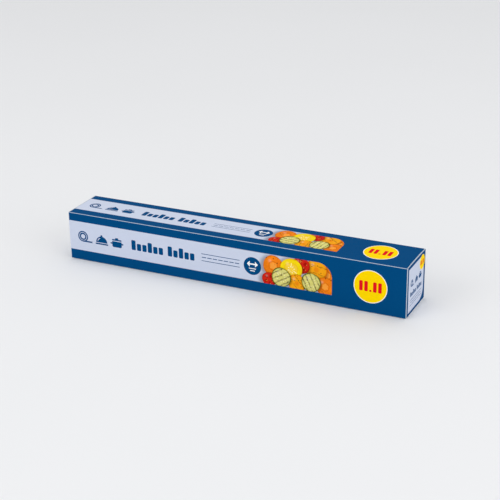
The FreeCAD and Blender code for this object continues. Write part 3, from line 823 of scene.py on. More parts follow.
def fold_tray(settings):
    """The long walls, the bottom, the glued end panels and the dust flaps behind them."""
    board, fold, scuff_and_highlight = settings.thickness, settings.fold, settings.scuff_and_highlight
    wall_half = HALF_LENGTH - board
    corner = wall_half - fold
    floor_half = HALF_LENGTH - fold
    wall_top = HEIGHT - board - LID_GAP
    section = [(BACK, HEIGHT - fold, 0.0), (BACK, DUST_FLAP_TOP, 0.0), (BACK, fold + BESIDE_FOLD, 0.0)]
    section += fold_arc((BACK - fold, fold), fold, 0, -90)
    section += [(BACK - fold - BESIDE_FOLD, 0.0, 0.0), (TRAY_FRONT + fold + BESIDE_FOLD, 0.0, 0.0)]
    covered = fold_arc((TRAY_FRONT + fold, fold), fold, 270, 180)
    section += [(y, z, wear_and_highlight * COVERED_WEAR_AND_HIGHLIGHT) for y, z, wear_and_highlight in covered]
    section += [(TRAY_FRONT, z, 0.0) for z in (fold + BESIDE_FOLD, DUST_FLAP_TOP, wall_top)]
    columns = along_carton(wall_half, [floor_half, corner])
    rows = [[(Vector((x, y, z)), wear_and_highlight) for x in columns] for y, z, wear_and_highlight in section]

    def in_board(middle):
        reach = abs(middle.x)
        if middle.z < fold:
            return reach < floor_half
        if middle.z < DUST_FLAP_TOP:
            return reach < corner
        return True

    tray = Sheet()
    tray.weave(rows, in_board)
    for side in (-1, 1):
        bend = fold_arc((floor_half, fold), fold, -90, 0)
        # The end panel's top edge gets a pale line: rubbed ink and a painted highlight along the edge
        rising = bend + [(HALF_LENGTH, fold + BESIDE_FOLD, 0.0), (HALF_LENGTH, HEIGHT - scuff_and_highlight / 2, 0.0),
                         (HALF_LENGTH, HEIGHT, 0.4)]
        lines = [TRAY_FRONT + END_INSET, TRAY_FRONT + fold, BACK - fold, BACK - END_INSET]
        rows = [[(Vector((side * x, y, z)), wear_and_highlight) for y in lines] for x, z, wear_and_highlight in rising]
        tray.weave(rows, lambda middle: middle.z > fold or TRAY_FRONT + fold < middle.y < BACK - fold,
                   flip=side < 0)
        for wall, inwards in ((TRAY_FRONT, 1), (BACK, -1)):
            heights = (fold + BESIDE_FOLD, DUST_FLAP_TOP)
            bend = fold_arc((corner, wall + inwards * fold), fold, -90 * inwards, 0)
            rows = [[(Vector((side * x, y, z)), wear_and_highlight) for x, y, wear_and_highlight in bend] for z in heights]
            flip = (side * inwards) < 0
            tray.weave(rows, flip=flip)
            reach = wall + inwards * DUST_FLAP_REACH
            near = wall + inwards * fold
            x = side * wall_half
            outline = [Vector((x, near, heights[0])), Vector((x, reach, heights[0])),
                       Vector((x, reach, DUST_FLAP_TOP - DUST_FLAP_TAPER)),
                       Vector((x, reach - inwards * DUST_FLAP_TAPER, DUST_FLAP_TOP)),
                       Vector((x, near, DUST_FLAP_TOP))]
            tray.flat(outline, flip=flip)
    return tray.finished("tray_board", board, board_finishes(settings))


def bend_hinge(settings):
    """The crease between the back wall and the top panel, which bends as the lid opens."""
    board, fold = settings.thickness, settings.fold
    half = HALF_LENGTH - board - LID_GAP
    section = fold_arc((BACK - fold, HEIGHT - fold), fold, 90, 0, 12)
    columns = spaced(-half, half, 24)
    rows = [[(Vector((x, y, z)), wear_and_highlight * HINGE_WEAR_AND_HIGHLIGHT) for x in columns] for y, z, wear_and_highlight in section]
    crease = Sheet()
    crease.weave(rows)
    return crease.finished("hinge_crease", board, board_finishes(settings))


def press_cutter(settings):
    """The steel strip, with its fine teeth."""
    y = STRIP_LOW.y
    tip, top = STRIP_LOW.z, STRIP_HIGH.z
    root = tip + settings.tooth_height
    count = round((STRIP_HIGH.x - STRIP_LOW.x) / settings.tooth_pitch)
    columns = spaced(STRIP_LOW.x, STRIP_HIGH.x, 2 * count)
    strip = Sheet()
    rows = [[(Vector((x, y, tip if n % 2 else root)), 0.0) for n, x in enumerate(columns)]]
    for level in (root + 0.4 * MM, (root + top) / 2, top):
        rows.append([(Vector((x, y, level)), 0.0) for x in columns])
    strip.weave(rows)
    thickness = STRIP_HIGH.y - STRIP_LOW.y
    return strip.finished("tear_strip", thickness, [steel_finish(settings)])


def ring_point(x, radius, angle, middle=(AXIS_Y, AXIS_Z)):
    """A point round the roll's axis, the angle from +Y towards +Z."""
    return Vector((x, middle[0] + radius * math.cos(angle), middle[1] + radius * math.sin(angle)))


def turned(mesh, section, steps):
    """Quads round the roll's axis through a closed section of places along X and radii."""
    rings = []
    for n in range(steps):
        angle = 2 * math.pi * n / steps
        rings.append([mesh.verts.new(ring_point(x, radius, angle)) for x, radius in section])
    for n, ring in enumerate(rings):
        after = rings[(n + 1) % steps]
        for k in range(len(section)):
            m = (k + 1) % len(section)
            mesh.faces.new((ring[k], ring[m], after[m], after[k]))
    return rings


def wind_core(settings):
    """The card tube, with slightly softened ends."""
    outer, inner = CORE_RADIUS, CORE_RADIUS - settings.core_wall
    low, high = CORE_LOW.x, CORE_HIGH.x
    soft = 0.15 * MM
    section = [(x, outer) for x in spaced(high - soft, low + soft, 24)]
    section += [(low, outer - soft), (low, inner + soft)]
    section += [(x, inner) for x in spaced(low + soft, high - soft, 24)]
    section += [(high, inner + soft), (high, outer - soft)]
    mesh = bmesh.new()
    turned(mesh, section, 96)
    bmesh.ops.recalc_face_normals(mesh, faces=mesh.faces)
    done = bpy.data.meshes.new("card_core")
    mesh.to_mesh(done)
    mesh.free()
    done.materials.append(kraft_finish(settings))
    return smoothed(done)


def wind_foil(settings):
    """The turns of foil: a skin with faint bands, and ends where the edges have crept a little."""
    mesh = bmesh.new()
    high = FOIL_HALF_WIDTH
    faces_x = spaced(high, -high, 100)
    bore = ROLL_BORE
    ends = spaced(ROLL_RADIUS, bore, 6)
    section = [(x, ROLL_RADIUS) for x in faces_x]
    section += [(-high, radius) for radius in ends[1:-1]]
    section += [(x, bore) for x in reversed(faces_x)]
    section += [(high, radius) for radius in reversed(ends[1:-1])]
    rings = turned(mesh, section, 144)
    for ring in rings:
        for vertex in ring:
            x, y, z = vertex.co
            radius = math.hypot(y - AXIS_Y, z - AXIS_Z)
            if radius > ROLL_RADIUS - 0.01 * MM:
                sway = noise.noise(Vector((x * 55.0, y * 30.0, z * 30.0)))
                shrink = 1.0 - (0.07 * MM * (0.5 + 0.5 * sway)) / radius
                vertex.co.y = AXIS_Y + (y - AXIS_Y) * shrink
                vertex.co.z = AXIS_Z + (z - AXIS_Z) * shrink
            if abs(x) > high - 0.01 * MM and radius < ROLL_RADIUS - 0.05 * MM:
                creep = noise.noise(Vector((radius * 4000.0, 3.0 if x > 0 else 9.0, 0.0)))
                vertex.co.x -= math.copysign(0.12 * MM * (0.5 + 0.5 * creep), x)
    bmesh.ops.recalc_face_normals(mesh, faces=mesh.faces)
    for face in mesh.faces:
        face.material_index = 1 if abs(face.normal.x) > 0.5 else 0
    done = bpy.data.meshes.new("foil_turns")
    mesh.to_mesh(done)
    mesh.free()
    done.materials.append(foil_finish(settings))
    done.materials.append(wound_edge_finish(settings))
    return smoothed(done, 50.0)


def free_end(settings):
    """The last of the foil, which lifts off the roll, is a little crinkled and ends in a torn zigzag."""
    start = math.radians(80.0)
    spread = 9.0 * MM
    outside = ROLL_RADIUS + spread - 0.05 * MM
    middle = (AXIS_Y - spread * math.cos(start), AXIS_Z - spread * math.sin(start))
    sweep = math.radians(50.0) * ROLL_RADIUS / outside
    pitch = settings.tooth_pitch
    columns = spaced(-FOIL_HALF_WIDTH, FOIL_HALF_WIDTH, round(4 * FOIL_HALF_WIDTH / pitch))
    steps = 26
    tooth = 0.9 * MM / outside
    foil = Sheet()
    rows = []
    for n in range(steps + 1):
        share = n / steps
        row = []
        for k, x in enumerate(columns):
            angle = start + (sweep - (tooth if k % 2 else 0.0) * share**6) * share
            lift = noise.fractal(Vector((x * 60.0, share * 2.2, 4.0)), 0.6, 2.2, 4)
            folds = abs(noise.noise(Vector((x * 38.0 + share * 1.2, share * 1.6, 9.0))))
            rise = settings.crinkle * share * (lift - 2.0 * folds)
            row.append((ring_point(x, outside + rise, angle, middle), 0.0))
        rows.append(row)
    foil.weave(rows)
    done = foil.finished("foil_free_end", settings.foil_sheet, [foil_finish(settings)])
    return smoothed(done, 60.0)


def circle(across, down, radius, sides=72):
    """A round outline in a panel's millimetres."""
    turns = [2 * math.pi * n / sides for n in range(sides)]
    return [(across + radius * math.cos(t), down + radius * math.sin(t)) for t in turns]


def box_outline(left, top, right, bottom, corners=0.0):
    """A rectangle with rounded corners: one radius, or four from the upper left clockwise."""
    radii = corners if isinstance(corners, tuple) else (corners,) * 4
    places = ((left, top, 1, 1, 180), (right, top, -1, 1, 270),
              (right, bottom, -1, -1, 0), (left, bottom, 1, -1, 90))
    made = []
    for (x, y, dx, dy, start), radius in zip(places, radii):
        steps = 0 if radius == 0 else max(4, round(radius * 1.6) + 3)
        for n in range(steps + 1):
            turn = math.radians(start + (90 * n / steps if steps else 45))
            made.append((x + dx * radius + radius * math.cos(turn),
                         y + dy * radius + radius * math.sin(turn)))
    return made


def roll_mark(across, foot, scale):
    """A roll seen from its end, with a sheet drawn off it that ends in a notch."""
    radius, line = 5.0 * scale, 1.3 * scale
    centre, end = across + radius, across + radius + 9.9 * scale
    notch = (end - line, foot - line / 2)
    sheet = [(centre, foot - line), (end, foot - line), notch, (end, foot), (centre, foot)]
    wound = [(ink_name, circle(centre, foot - radius, ring * scale)) for ink_name, ring in ROLL_MARK_RINGS]
    return wound + [("dark", sheet)], end


def dome_mark(across, foot, scale):
    """A serving dome with its knob and a gleam, over a plate."""
    line, end = 1.3 * scale, across + 12.6 * scale
    centre, radius = (across + end) / 2, (end - across - 1.3 * scale) / 2
    rim = foot - 1.5 * line
    dome = [p for p in circle(centre, rim, radius, 96) if p[1] <= rim + 1e-6]
    gleam = []
    for reach, turns in ((radius * 0.8, range(200, 251, 5)), (radius * 0.69, range(250, 199, -5))):
        for turn in map(math.radians, turns):
            gleam.append((centre + reach * math.cos(turn), rim + reach * math.sin(turn)))
    return [("dark", box_outline(across, foot - line, end, foot, 0.35 * scale)), ("dark", dome),
            ("dark", circle(centre, rim - radius - line * 0.35, line * 0.8, 40)), ("pale", gleam)], end


def pot_mark(across, foot, scale):
    """A pot with two handles, a lid and a knob."""
    line, handle = 1.3 * scale, 1.7 * scale
    half, top = 4.7 * scale, foot - 5.4 * scale
    end = across + 2 * (handle + half)
    middle = (across + end) / 2
    knob = 1.55 * scale
    body = box_outline(middle - half, top, middle + half, foot, (0.2, 0.2, line, line))
    handles = box_outline(across, top + line, end, top + 2 * line, 0.6 * scale)
    lid = box_outline(middle - half, top - 1.5 * line, middle + half, top - line / 2, 0.5 * scale)
    grip = box_outline(middle - knob, top - 2.5 * line, middle + knob, top - 1.4 * line, 0.4 * scale)
    return [("dark", outline) for outline in (body, handles, lid, grip)], end


def emblem(across, down, scale=1.0):
    """Three kitchen marks in a row on one foot line, and where they end."""
    layers = []
    foot = down + 5.0 * scale
    for mark in (roll_mark, dome_mark, pot_mark):
        drawn, end = mark(across, foot, scale)
        layers += drawn
        across = end + 2.6 * scale
    return layers, end


def words_width(scale):
    """The length of the two words."""
    width, gap, word_gap = LETTER
    letters = sum(len(shape) for shape in WORD_SHAPES)
    return (letters * (width + gap) + (len(WORD_SHAPES) - 1) * (word_gap - gap) - gap) * scale


def words(across, down, scale=1.0):
    """Two words in plain blocks, tall and short, on one foot line."""
    width, gap, word_gap = (length * scale for length in LETTER)
    foot = down + TALL / 2 * scale
    layers = []
    for shape in WORD_SHAPES:
        for tall in shape:
            height = (TALL if tall else SHORT) * scale
            block = box_outline(across, foot - height, across + width, foot, LETTER_CORNER * scale)
            layers.append(("dark", block))
            across += width + gap
        across += word_gap - gap
    return layers


def rules(start, end, down, scale=1.0):
    """Two fine rules with a row of short dashes between them."""
    half, spacing = RULE_HALF * scale, RULE_SPACING * scale
    layers = []
    for line in (down - spacing, down + spacing):
        layers.append(("dark", box_outline(start, line - half, end, line + half)))
    dash, gap, reach = DASH * scale, DASH_GAP * scale, DASH_HALF * scale
    count = int((end - start + gap) / (dash + gap))
    left = (start + end - count * (dash + gap) + gap) / 2
    for _ in range(count):
        drawn = box_outline(left, down - reach, left + dash, down + reach, DASH_CORNER * scale)
        layers.append(("dark", drawn))
        left += dash + gap
    return layers


def badge(across, down):
    """A dark disc with a double arrow over two short lines."""
    rise, half, neck, head, line = BADGE_ARROW
    axis = down - rise
    arrow = [(across - half, axis), (across - neck, axis - head), (across - neck, axis - line),
             (across + neck, axis - line), (across + neck, axis - head), (across + half, axis),
             (across + neck, axis + head), (across + neck, axis + line),
             (across - neck, axis + line), (across - neck, axis + head)]
    layers = [("dark", circle(across, down, BADGE_RADIUS)), ("white", arrow)]
    for n, length in enumerate(BADGE_LINES):
        top = down + BADGE_LINE_DROP + BADGE_LINE_STEP * n
        bottom = top + BADGE_LINE_WIDTH
        drawn = box_outline(across - length / 2, top, across + length / 2, bottom, BADGE_LINE_CORNER)
        layers.append(("white", drawn))
    return layers


def price(across, down, scale=1.0):
    """Four upright blocks with a dot between the pairs."""
    width, gap, dot, half = (length * scale for length in PRICE_BAR)
    left = across - (4 * width + 4 * gap + dot) / 2
    layers = []
    for n in range(4):
        layers.append(("red", box_outline(left, down - half, left + width, down + half, 0.9 * scale)))
        left += width + gap
        if n == 1:
            layers.append(("red", box_outline(left, down + half - dot, left + dot, down + half, 0.4 * scale)))
            left += dot + gap
    return layers


def slice_outline(across, down, radius, sides=96):
    """A slice's outline: round, but uneven."""
    made = []
    for n in range(sides):
        angle = 2 * math.pi * n / sides
        reach = radius * (1 + 0.025 * math.sin(3 * angle + across))
        made.append((across + reach * math.cos(angle), down + reach * math.sin(angle)))
    return made


class Panel:
    """A printed panel of the carton, drawn in millimetres across and down from its upper left corner."""

    def __init__(self, corner, across, down, width, height, board_start=0.0, band_top=BAND_TOP):
        self.corner, self.across, self.down = Vector(corner), Vector(across), Vector(down)
        self.out = self.down.cross(self.across)
        self.width, self.height, self.board_start, self.band_top = width, height, board_start, band_top

    def point(self, across, down, lift):
        """The place of a drawn point, lifted off the board."""
        return self.corner + (self.across * across + self.down * down) * MM + self.out * lift

    def middle(self):
        """The line down the pale field that the marks are centred on."""
        return (self.band_top + self.height - BAND_BOTTOM_MARGIN) / 2

    def band(self):
        """The pale field of a long panel."""
        right, bottom = self.width - BAND_END_MARGIN, self.height - BAND_BOTTOM_MARGIN
        return box_outline(self.board_start, self.band_top, right, bottom, (0, BAND_CORNER, 0, 0))

    def slices(self):
        """The picture's slices, lowest first, with their places on this panel."""
        start = self.width - BAND_END_MARGIN - PICTURE_FROM_BAND_END
        return [(name, start + across, self.middle() + down, radius) for name, across, down, radius in SLICES]


FRONT_PANEL = Panel((-HALF_LENGTH, FRONT, HEIGHT), (1, 0, 0), (0, 0, -1), PANEL_LENGTH, HEIGHT / MM)
TOP_PANEL = Panel((-HALF_LENGTH, BACK, HEIGHT), (1, 0, 0), (0, -1, 0), PANEL_LENGTH, PANEL_DEPTH,
                  TOP_PANEL_START, TOP_PANEL_BAND_TOP)
BACK_PANEL = Panel((HALF_LENGTH, BACK, HEIGHT), (-1, 0, 0), (0, 0, -1), PANEL_LENGTH, HEIGHT / MM,
                   BACK_PANEL_START)
RIGHT_PANEL = Panel((HALF_LENGTH, FRONT, HEIGHT), (0, 1, 0), (0, 0, -1), PANEL_DEPTH, HEIGHT / MM)
LEFT_PANEL = Panel((-HALF_LENGTH, BACK, HEIGHT), (0, -1, 0), (0, 0, -1), PANEL_DEPTH, HEIGHT / MM)


def wording(panel):
    """The words and rules that every long panel carries."""
    middle = panel.middle()
    start = WORD_START + words_width(1.0) + RULE_AFTER_WORDS
    end = panel.width - BAND_END_MARGIN - BADGE_FROM_BAND_END - BADGE_RADIUS - RULE_BEFORE_BADGE
    return words(WORD_START, middle) + rules(start, end, middle)


def long_layers(panel):
    """All outlines of a long panel of the lid, the lowest first."""
    middle = panel.middle()
    spot = panel.width - SPOT_FROM_END
    layers = [("pale", panel.band())]
    for n, (_, across, down, radius) in enumerate(panel.slices()):
        layers.append((f"slice {n}", slice_outline(across, down, radius)))
    layers += emblem(EMBLEM_START, middle)[0] + wording(panel)
    layers += badge(panel.width - BAND_END_MARGIN - BADGE_FROM_BAND_END, middle)
    layers.append(("white", circle(spot, middle, SPOT_RADIUS + SPOT_RIM, 96)))
    layers.append(("yellow", circle(spot, middle, SPOT_RADIUS, 96)))
    return layers + price(spot, middle)


def back_layers():
    """The back's outlines: the pale field with the words and rules."""
    return [("pale", BACK_PANEL.band())] + wording(BACK_PANEL)


def end_layers(panel):
    """An end panel's outlines."""
    left, top, right_margin, bottom_margin = END_BAND
    right, bottom = panel.width - right_margin, panel.height - bottom_margin
    spot = panel.width - END_SPOT_FROM_EDGE
    middle = (left + right) / 2
    marks_half = emblem(0, 0, END_MARK_SCALE)[1] / 2
    words_half = words_width(END_WORD_SCALE) / 2
    layers = [("pale", box_outline(left, top, right, bottom, (0, 0, END_BAND_CORNER, 0)))]
    layers += emblem(middle - marks_half, END_MARKS_DOWN, END_MARK_SCALE)[0]
    layers += words(middle - words_half, END_WORDS_DOWN, END_WORD_SCALE)
    layers += rules(middle - END_RULES_HALF, middle + END_RULES_HALF, END_RULES_DOWN, END_RULE_SCALE)
    layers.append(("yellow", circle(spot, END_SPOT_DOWN, END_SPOT_RADIUS)))
    return layers + price(spot, END_SPOT_DOWN, END_PRICE_SCALE)


def soft_step(value, low, high):
    """A soft step from 0 to 1."""
    share = min(1.0, max(0.0, (value - low) / (high - low)))
    return share * share * (3 - 2 * share)


def picture_light(across, down, slices, own, depth):
    """How light a point of the picture is under the slices over it, and how much it gleams."""
    if own < 0:
        away = min(math.hypot(across - x + 1.6, down - y - 0.8) - radius for _, x, y, radius in slices)
        return 1.0 - 1.15 * depth * (1.0 - soft_step(away, -1.2, 5.0)), 0.0
    light = 1.0
    for _, x, y, radius in slices[own + 1:]:
        away = math.hypot(across - x - 0.5, down - y - 0.7) - radius
        light *= 1.0 - depth * (1.0 - soft_step(away, -0.4, 2.4))
    _, x, y, radius = slices[own]
    side, drop = (across - x) / radius, (down - y) / radius
    lean = -0.55 * side - 0.8 * drop
    rim = soft_step(math.hypot(side, drop), 0.55, 1.0)
    light *= 1.0 - 0.32 * rim * soft_step(-lean, -0.2, 0.9)
    gleam = math.exp(-(((side + 0.34) ** 2 + (drop + 0.46) ** 2) / 0.035))
    return light, 0.3 * gleam


def cut_apart(layers, fill):
    """Cuts stacked outlines into faces that don't overlap, each with the layer that is on top there."""
    points, polygons = [], []
    for _, outline in layers:
        first = len(points)
        points += [Vector((x, -y)) for x, y in outline]
        ring = list(range(first, len(points)))
        area = sum(points[a].cross(points[b]) for a, b in zip(ring, ring[1:] + ring[:1]))
        polygons.append(ring if area > 0 else ring[::-1])
    points += [Vector((x, -y)) for x, y in fill]
    corners, _, faces, _, _, sources = geometry.delaunay_2d_cdt(points, [], polygons, 1, 1e-5)
    found = []
    for face, over in zip(faces, sources):
        if not over or (layers[max(over)][0].startswith("slice") and 0 not in over):
            continue
        found.append((layers[max(over)][0], [(corners[n].x, -corners[n].y) for n in face]))
    return found


def picture_grid(panel, step=0.75):
    """Points inside the picture, so that its soft shadows can be kept in the mesh."""
    end = panel.width - BAND_END_MARGIN
    start = end - PICTURE_FROM_BAND_END - 12.0
    top, bottom = panel.band_top, panel.height - BAND_BOTTOM_MARGIN
    rows = int((bottom - top) / (step * 0.87))
    columns = int((end - start) / step)
    made = []
    for row in range(1, rows):
        for column in range(1, columns):
            x = start + (column + 0.5 * (row % 2)) * step
            y = top + (bottom - top) * row / rows
            in_corner = x > end - BAND_CORNER and y < top + BAND_CORNER
            reach = math.hypot(x - end + BAND_CORNER, y - top - BAND_CORNER)
            if x < end - 0.2 and not (in_corner and reach > BAND_CORNER - 0.2):
                made.append((x, y))
    return made


class InkPlate:
    """All the films of one ink on one body."""

    def __init__(self):
        self.mesh = bmesh.new()
        floats = self.mesh.verts.layers.float
        self.shade, self.gleam, self.seed = (floats.new(name) for name in ("shade", "gleam", "seed"))
        self.slice = self.mesh.loops.layers.uv.new("slice")
        self.corners = {}

    def face(self, panel, number, outline, lift, slices, own, depth):
        """Adds one face, and keeps its light and its place on its slice."""
        ring = []
        for across, down in outline:
            key = (number, own, round(across, 4), round(down, 4))
            if key not in self.corners:
                made = self.mesh.verts.new(panel.point(across, down, lift))
                light, gleam = picture_light(across, down, slices, own, depth) if slices else (1.0, 0.0)
                made[self.shade], made[self.gleam] = light, gleam
                made[self.seed] = own + 0.37 * number
                self.corners[key] = made
            ring.append(self.corners[key])
        if len(set(ring)) < 3:
            return
        made = self.mesh.faces.new(ring)
        if own >= 0:
            _, x, y, radius = slices[own]
            turn = 1.7 * own + 0.6 * number
            for loop, (across, down) in zip(made.loops, outline):
                side, rise = (across - x) / radius, (y - down) / radius
                loop[self.slice].uv = (side * math.cos(turn) - rise * math.sin(turn),
                                       side * math.sin(turn) + rise * math.cos(turn))

    def finished(self, name, film, material):
        """The films with their thickness."""
        mesh = bpy.data.meshes.new(name)
        self.mesh.to_mesh(mesh)
        self.mesh.free()
        mesh.materials.append(material)
        return thickened(mesh, film, 0, 0)


def print_plates(panels, film, depth):
    """The plates of every ink used on some panels, by the ink's name."""
    plates = {}
    for number, (panel, layers) in enumerate(panels):
        slices = panel.slices() if any(name.startswith("slice") for name, _ in layers) else []
        fill = picture_grid(panel) if slices else []
        for name, outline in cut_apart(layers, fill):
            own = int(name.split()[1]) if name.startswith("slice") else -1
            key = slices[own][0] if own >= 0 else name
            plate = plates.setdefault(key, InkPlate())
            lit = slices if own >= 0 or name == "pale" else []
            plate.face(panel, number, outline, film, lit, own, depth)
    return plates


def ink_finish(name, settings):
    """The material of one ink."""
    plain = {"dark": ("Dark ink", settings.board.blue), "white": ("White ink", settings.inks.white),
             "yellow": ("Yellow ink", settings.inks.yellow), "red": ("Red ink", settings.inks.red)}
    food = {"carrot": carrot_slice, "courgette": courgette_slice, "pepper": pepper_slice,
            "tomato": tomato_slice, "squash": squash_slice}
    if name in food:
        return food[name](settings.picture)
    if name == "pale":
        return pale_ink(settings.inks)
    label, colour = plain[name]
    return ink(label, tuple(colour))


def print_on(body, panels, settings):
    """Prints the panels of one body, one piece for each ink."""
    film = settings.inks.film
    for name, plate in print_plates(panels, film, settings.inks.shadow).items():
        mesh = plate.finished(f"{body}_ink_{name}", film, ink_finish(name, settings))
        placed(f"{body}_ink_{name}", mesh, [f"{body}_print_{name}"], body)


class FOILCARTON_OT_tray(bpy.types.Operator):
    """Fold the tray of the carton"""

    bl_idname = "foilcarton.tray"
    bl_label = "Fold the tray"
    bl_options = {"REGISTER", "UNDO"}

    def execute(self, context):
        """Builds from the scene's settings."""
        settings = context.scene.foil_carton
        placed("tray_board", smoothed(fold_tray(settings.board)), ["carton_tray"], "tray")
        return {"FINISHED"}


class FOILCARTON_OT_lid(bpy.types.Operator):
    """Fold the lid and the crease that it hinges on"""

    bl_idname = "foilcarton.lid"
    bl_label = "Fold the lid"
    bl_options = {"REGISTER", "UNDO"}

    def execute(self, context):
        """Builds from the scene's settings."""
        settings = context.scene.foil_carton
        fold = settings.board.fold
        placed("lid_board", smoothed(fold_lid(settings.board)), ["carton_lid"], "lid")
        crease = placed("hinge_crease", smoothed(bend_hinge(settings.board)))
        reach = settings.board.thickness / 2
        tray_side = (0, BACK - reach, HEIGHT - fold + reach)
        lid_side = (0, BACK - fold + reach, HEIGHT - reach)
        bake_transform(crease, "lid", "tray", start=lid_side, end=tray_side)
        return {"FINISHED"}


class FOILCARTON_OT_lid_print(bpy.types.Operator):
    """Print the cover flap and the top panel"""

    bl_idname = "foilcarton.lid_print"
    bl_label = "Print the lid"
    bl_options = {"REGISTER", "UNDO"}

    def execute(self, context):
        """Builds from the scene's settings."""
        settings = context.scene.foil_carton
        print_on("lid", [(panel, long_layers(panel)) for panel in (FRONT_PANEL, TOP_PANEL)], settings)
        return {"FINISHED"}


class FOILCARTON_OT_tray_print(bpy.types.Operator):
    """Print the back and the two end panels"""

    bl_idname = "foilcarton.tray_print"
    bl_label = "Print the tray"
    bl_options = {"REGISTER", "UNDO"}

    def execute(self, context):
        """Builds from the scene's settings."""
        settings = context.scene.foil_carton
        ends = [(panel, end_layers(panel)) for panel in (LEFT_PANEL, RIGHT_PANEL)]
        print_on("tray", [(BACK_PANEL, back_layers())] + ends, settings)
        return {"FINISHED"}


class FOILCARTON_OT_cutter(bpy.types.Operator):
    """Press the toothed steel strip"""

    bl_idname = "foilcarton.cutter"
    bl_label = "Press the cutter"
    bl_options = {"REGISTER", "UNDO"}

    def execute(self, context):
        """Builds from the scene's settings."""
        settings = context.scene.foil_carton
        placed("tear_strip", press_cutter(settings.roll), ["cutter_strip"], "lid")
        return {"FINISHED"}


class FOILCARTON_OT_core(bpy.types.Operator):
    """Wind the card core"""

    bl_idname = "foilcarton.core"
    bl_label = "Wind the core"
    bl_options = {"REGISTER", "UNDO"}

    def execute(self, context):
        """Builds from the scene's settings."""
        settings = context.scene.foil_carton
        placed("card_core", wind_core(settings.roll), ["core_tube"], "tray")
        return {"FINISHED"}


class FOILCARTON_OT_foil(bpy.types.Operator):
    """Wind the foil and lift its free end"""

    bl_idname = "foilcarton.foil"
    bl_label = "Wind the foil"
    bl_options = {"REGISTER", "UNDO"}

    def execute(self, context):
        """Builds from the scene's settings."""
        settings = context.scene.foil_carton
        placed("foil_turns", wind_foil(settings.roll), ["foil_roll"], "tray")
        placed("foil_free_end", free_end(settings.roll), [], "tray")
        return {"FINISHED"}


class FOILCARTON_OT_studio(bpy.types.Operator):
    """Lay the floor, set the lights and aim the camera"""

    bl_idname = "foilcarton.studio"
    bl_label = "Set the studio"
    bl_options = {"REGISTER", "UNDO"}

    def execute(self, context):
        """Builds from the scene's settings."""
        settings = context.scene.foil_carton
        studio = settings.studio
        lay_floor(studio)
        light_world(studio)
        hang_lamps(studio)
        aim_camera(studio)
        return {"FINISHED"}


def lay_floor(studio):
    """A plain pale floor."""
    mesh = bmesh.new()
    bmesh.ops.create_grid(mesh, x_segments=8, y_segments=8, size=6.0)
    done = bpy.data.meshes.new("studio_floor")
    mesh.to_mesh(done)
    mesh.free()
    finish = Finish("Studio floor", 0.9, 0.0)
    tone = finish.cloud(3.0, 2.0)
    done.materials.append(finish.colour(finish.shaded(tuple(studio.floor), 0.99, 1.01, tone)))
    old = bpy.data.objects.get("studio_floor")
    if old:
        bpy.data.objects.remove(old)
    floor = bpy.data.objects.new("studio_floor", done)
    floor.location.z = -0.02 * MM
    bpy.context.scene.collection.objects.link(floor)


def light_world(studio):
    """Even daylight, the floor's colour behind everything, and a soft fade from above for metal."""
    world = bpy.data.worlds.new("Studio world")
    bpy.context.scene.world = world
    world.use_nodes = True
    nodes, links = world.node_tree.nodes, world.node_tree.links
    nodes.clear()
    even, gleam, seen = (nodes.new("ShaderNodeBackground") for _ in range(3))
    even.inputs["Color"].default_value = (1.0, 1.0, 1.0, 1.0)
    even.inputs["Strength"].default_value = studio.daylight
    gleam.inputs["Color"].default_value = (*studio.floor, 1.0)
    seen.inputs["Color"].default_value = (*studio.floor, 1.0)
    place, split = nodes.new("ShaderNodeTexCoord"), nodes.new("ShaderNodeSeparateXYZ")
    fade = nodes.new("ShaderNodeMapRange")
    for name, value in zip(("From Min", "From Max", "To Min", "To Max"), GLEAM_RANGE):
        fade.inputs[name].default_value = value
    links.new(place.outputs["Generated"], split.inputs[0])
    links.new(split.outputs[2], fade.inputs["Value"])
    links.new(fade.outputs["Result"], gleam.inputs["Strength"])
    path = nodes.new("ShaderNodeLightPath")
    metal, choice = (nodes.new("ShaderNodeMixShader") for _ in range(2))
    output = nodes.new("ShaderNodeOutputWorld")
    links.new(path.outputs["Is Glossy Ray"], metal.inputs[0])
    links.new(even.outputs[0], metal.inputs[1])
    links.new(gleam.outputs[0], metal.inputs[2])
    links.new(path.outputs["Is Camera Ray"], choice.inputs[0])
    links.new(metal.outputs[0], choice.inputs[1])
    links.new(seen.outputs[0], choice.inputs[2])
    links.new(choice.outputs[0], output.inputs["Surface"])


def hang_lamps(studio):
    """Three soft lamps: left of the camera, right of it, and overhead."""
    for name, place, size, power in (
        ("lamp_left", (-0.9, -1.5, 1.1), 1.2, 10.0),
        ("lamp_right", (1.5, -0.5, 0.8), 1.2, 7.0),
        ("lamp_over", (0.1, 0.3, 1.8), 1.6, 4.5),
    ):
        old = bpy.data.objects.get(name)
        if old:
            bpy.data.objects.remove(old)
        data = bpy.data.lights.new(name, "AREA")
        data.size, data.energy = size, power * studio.lamps
        lamp = bpy.data.objects.new(name, data)
        lamp.location = place
        lamp.rotation_mode = "QUATERNION"
        lamp.rotation_quaternion = (-Vector(place)).to_track_quat("-Z", "Y")
        bpy.context.scene.collection.objects.link(lamp)


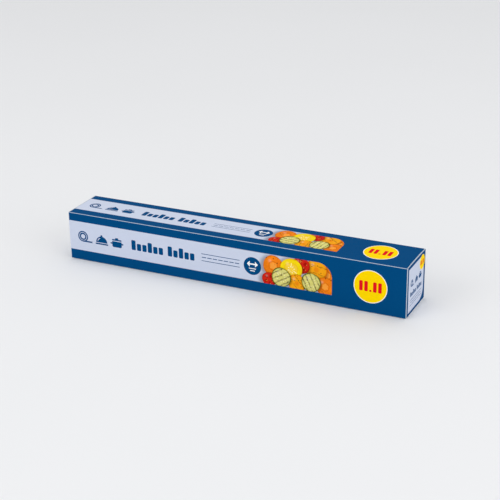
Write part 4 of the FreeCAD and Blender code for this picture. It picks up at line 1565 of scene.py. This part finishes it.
def aim_camera(studio):
    """The camera at the photograph's angle."""
    azimuth, elevation, roll = studio.azimuth, studio.elevation, studio.roll
    back = Vector((math.sin(azimuth) * math.cos(elevation), -math.cos(azimuth) * math.cos(elevation),
                   math.sin(elevation)))
    right = (-back).cross(Vector((0, 0, 1))).normalized()
    up = right.cross(-back)
    side = right * math.cos(roll) + up * math.sin(roll)
    top = -right * math.sin(roll) + up * math.cos(roll)
    data = bpy.data.cameras.new("camera")
    data.sensor_width, data.lens = 36.0, studio.lens
    data.clip_start, data.clip_end = 0.01, 50.0
    camera = bpy.data.objects.new("camera", data)
    camera.matrix_world = (Matrix.Translation(CAMERA_TARGET + back * studio.distance)
                           @ Matrix((side, top, back)).transposed().to_4x4())
    bpy.context.scene.collection.objects.link(camera)
    bpy.context.scene.camera = camera
    bpy.context.scene.view_settings.view_transform = "Standard"


OPERATORS = (FOILCARTON_OT_tray, FOILCARTON_OT_lid, FOILCARTON_OT_lid_print, FOILCARTON_OT_tray_print,
             FOILCARTON_OT_cutter, FOILCARTON_OT_core, FOILCARTON_OT_foil, FOILCARTON_OT_studio)


class FOILCARTON_PT_sidebar(bpy.types.Panel):
    """Settings and steps of the foil carton"""

    bl_idname = "FOILCARTON_PT_sidebar"
    bl_label = "Foil carton"
    bl_space_type = "VIEW_3D"
    bl_region_type = "UI"
    bl_category = "Foil carton"

    def draw(self, context):
        """Lists the settings and the operators."""
        settings = context.scene.foil_carton
        for group in (settings.board, settings.inks, settings.picture, settings.roll, settings.studio):
            box = self.layout.box()
            for name in group.__annotations__:
                box.prop(group, name)
        for operator in OPERATORS:
            self.layout.operator(operator.bl_idname)


CLASSES = (BoardSettings, PrintSettings, PictureSettings, RollSettings, StudioSettings, CartonSettings,
           *OPERATORS, FOILCARTON_PT_sidebar)


def register():
    """Makes the settings, the operators and the panel known to Blender."""
    for item in CLASSES:
        bpy.utils.register_class(item)
    bpy.types.Scene.foil_carton = bpy.props.PointerProperty(
        type=CartonSettings, name="Foil carton", description="Settings of the foil carton")


def unregister():
    """Takes them away again."""
    del bpy.types.Scene.foil_carton
    for item in reversed(CLASSES):
        bpy.utils.unregister_class(item)


def main():
    """Builds the whole scene."""
    register()
    steps = bpy.ops.foilcarton
    for operator in OPERATORS:
        getattr(steps, operator.bl_idname.split(".")[1])()


if __name__ == "__main__":
    main()
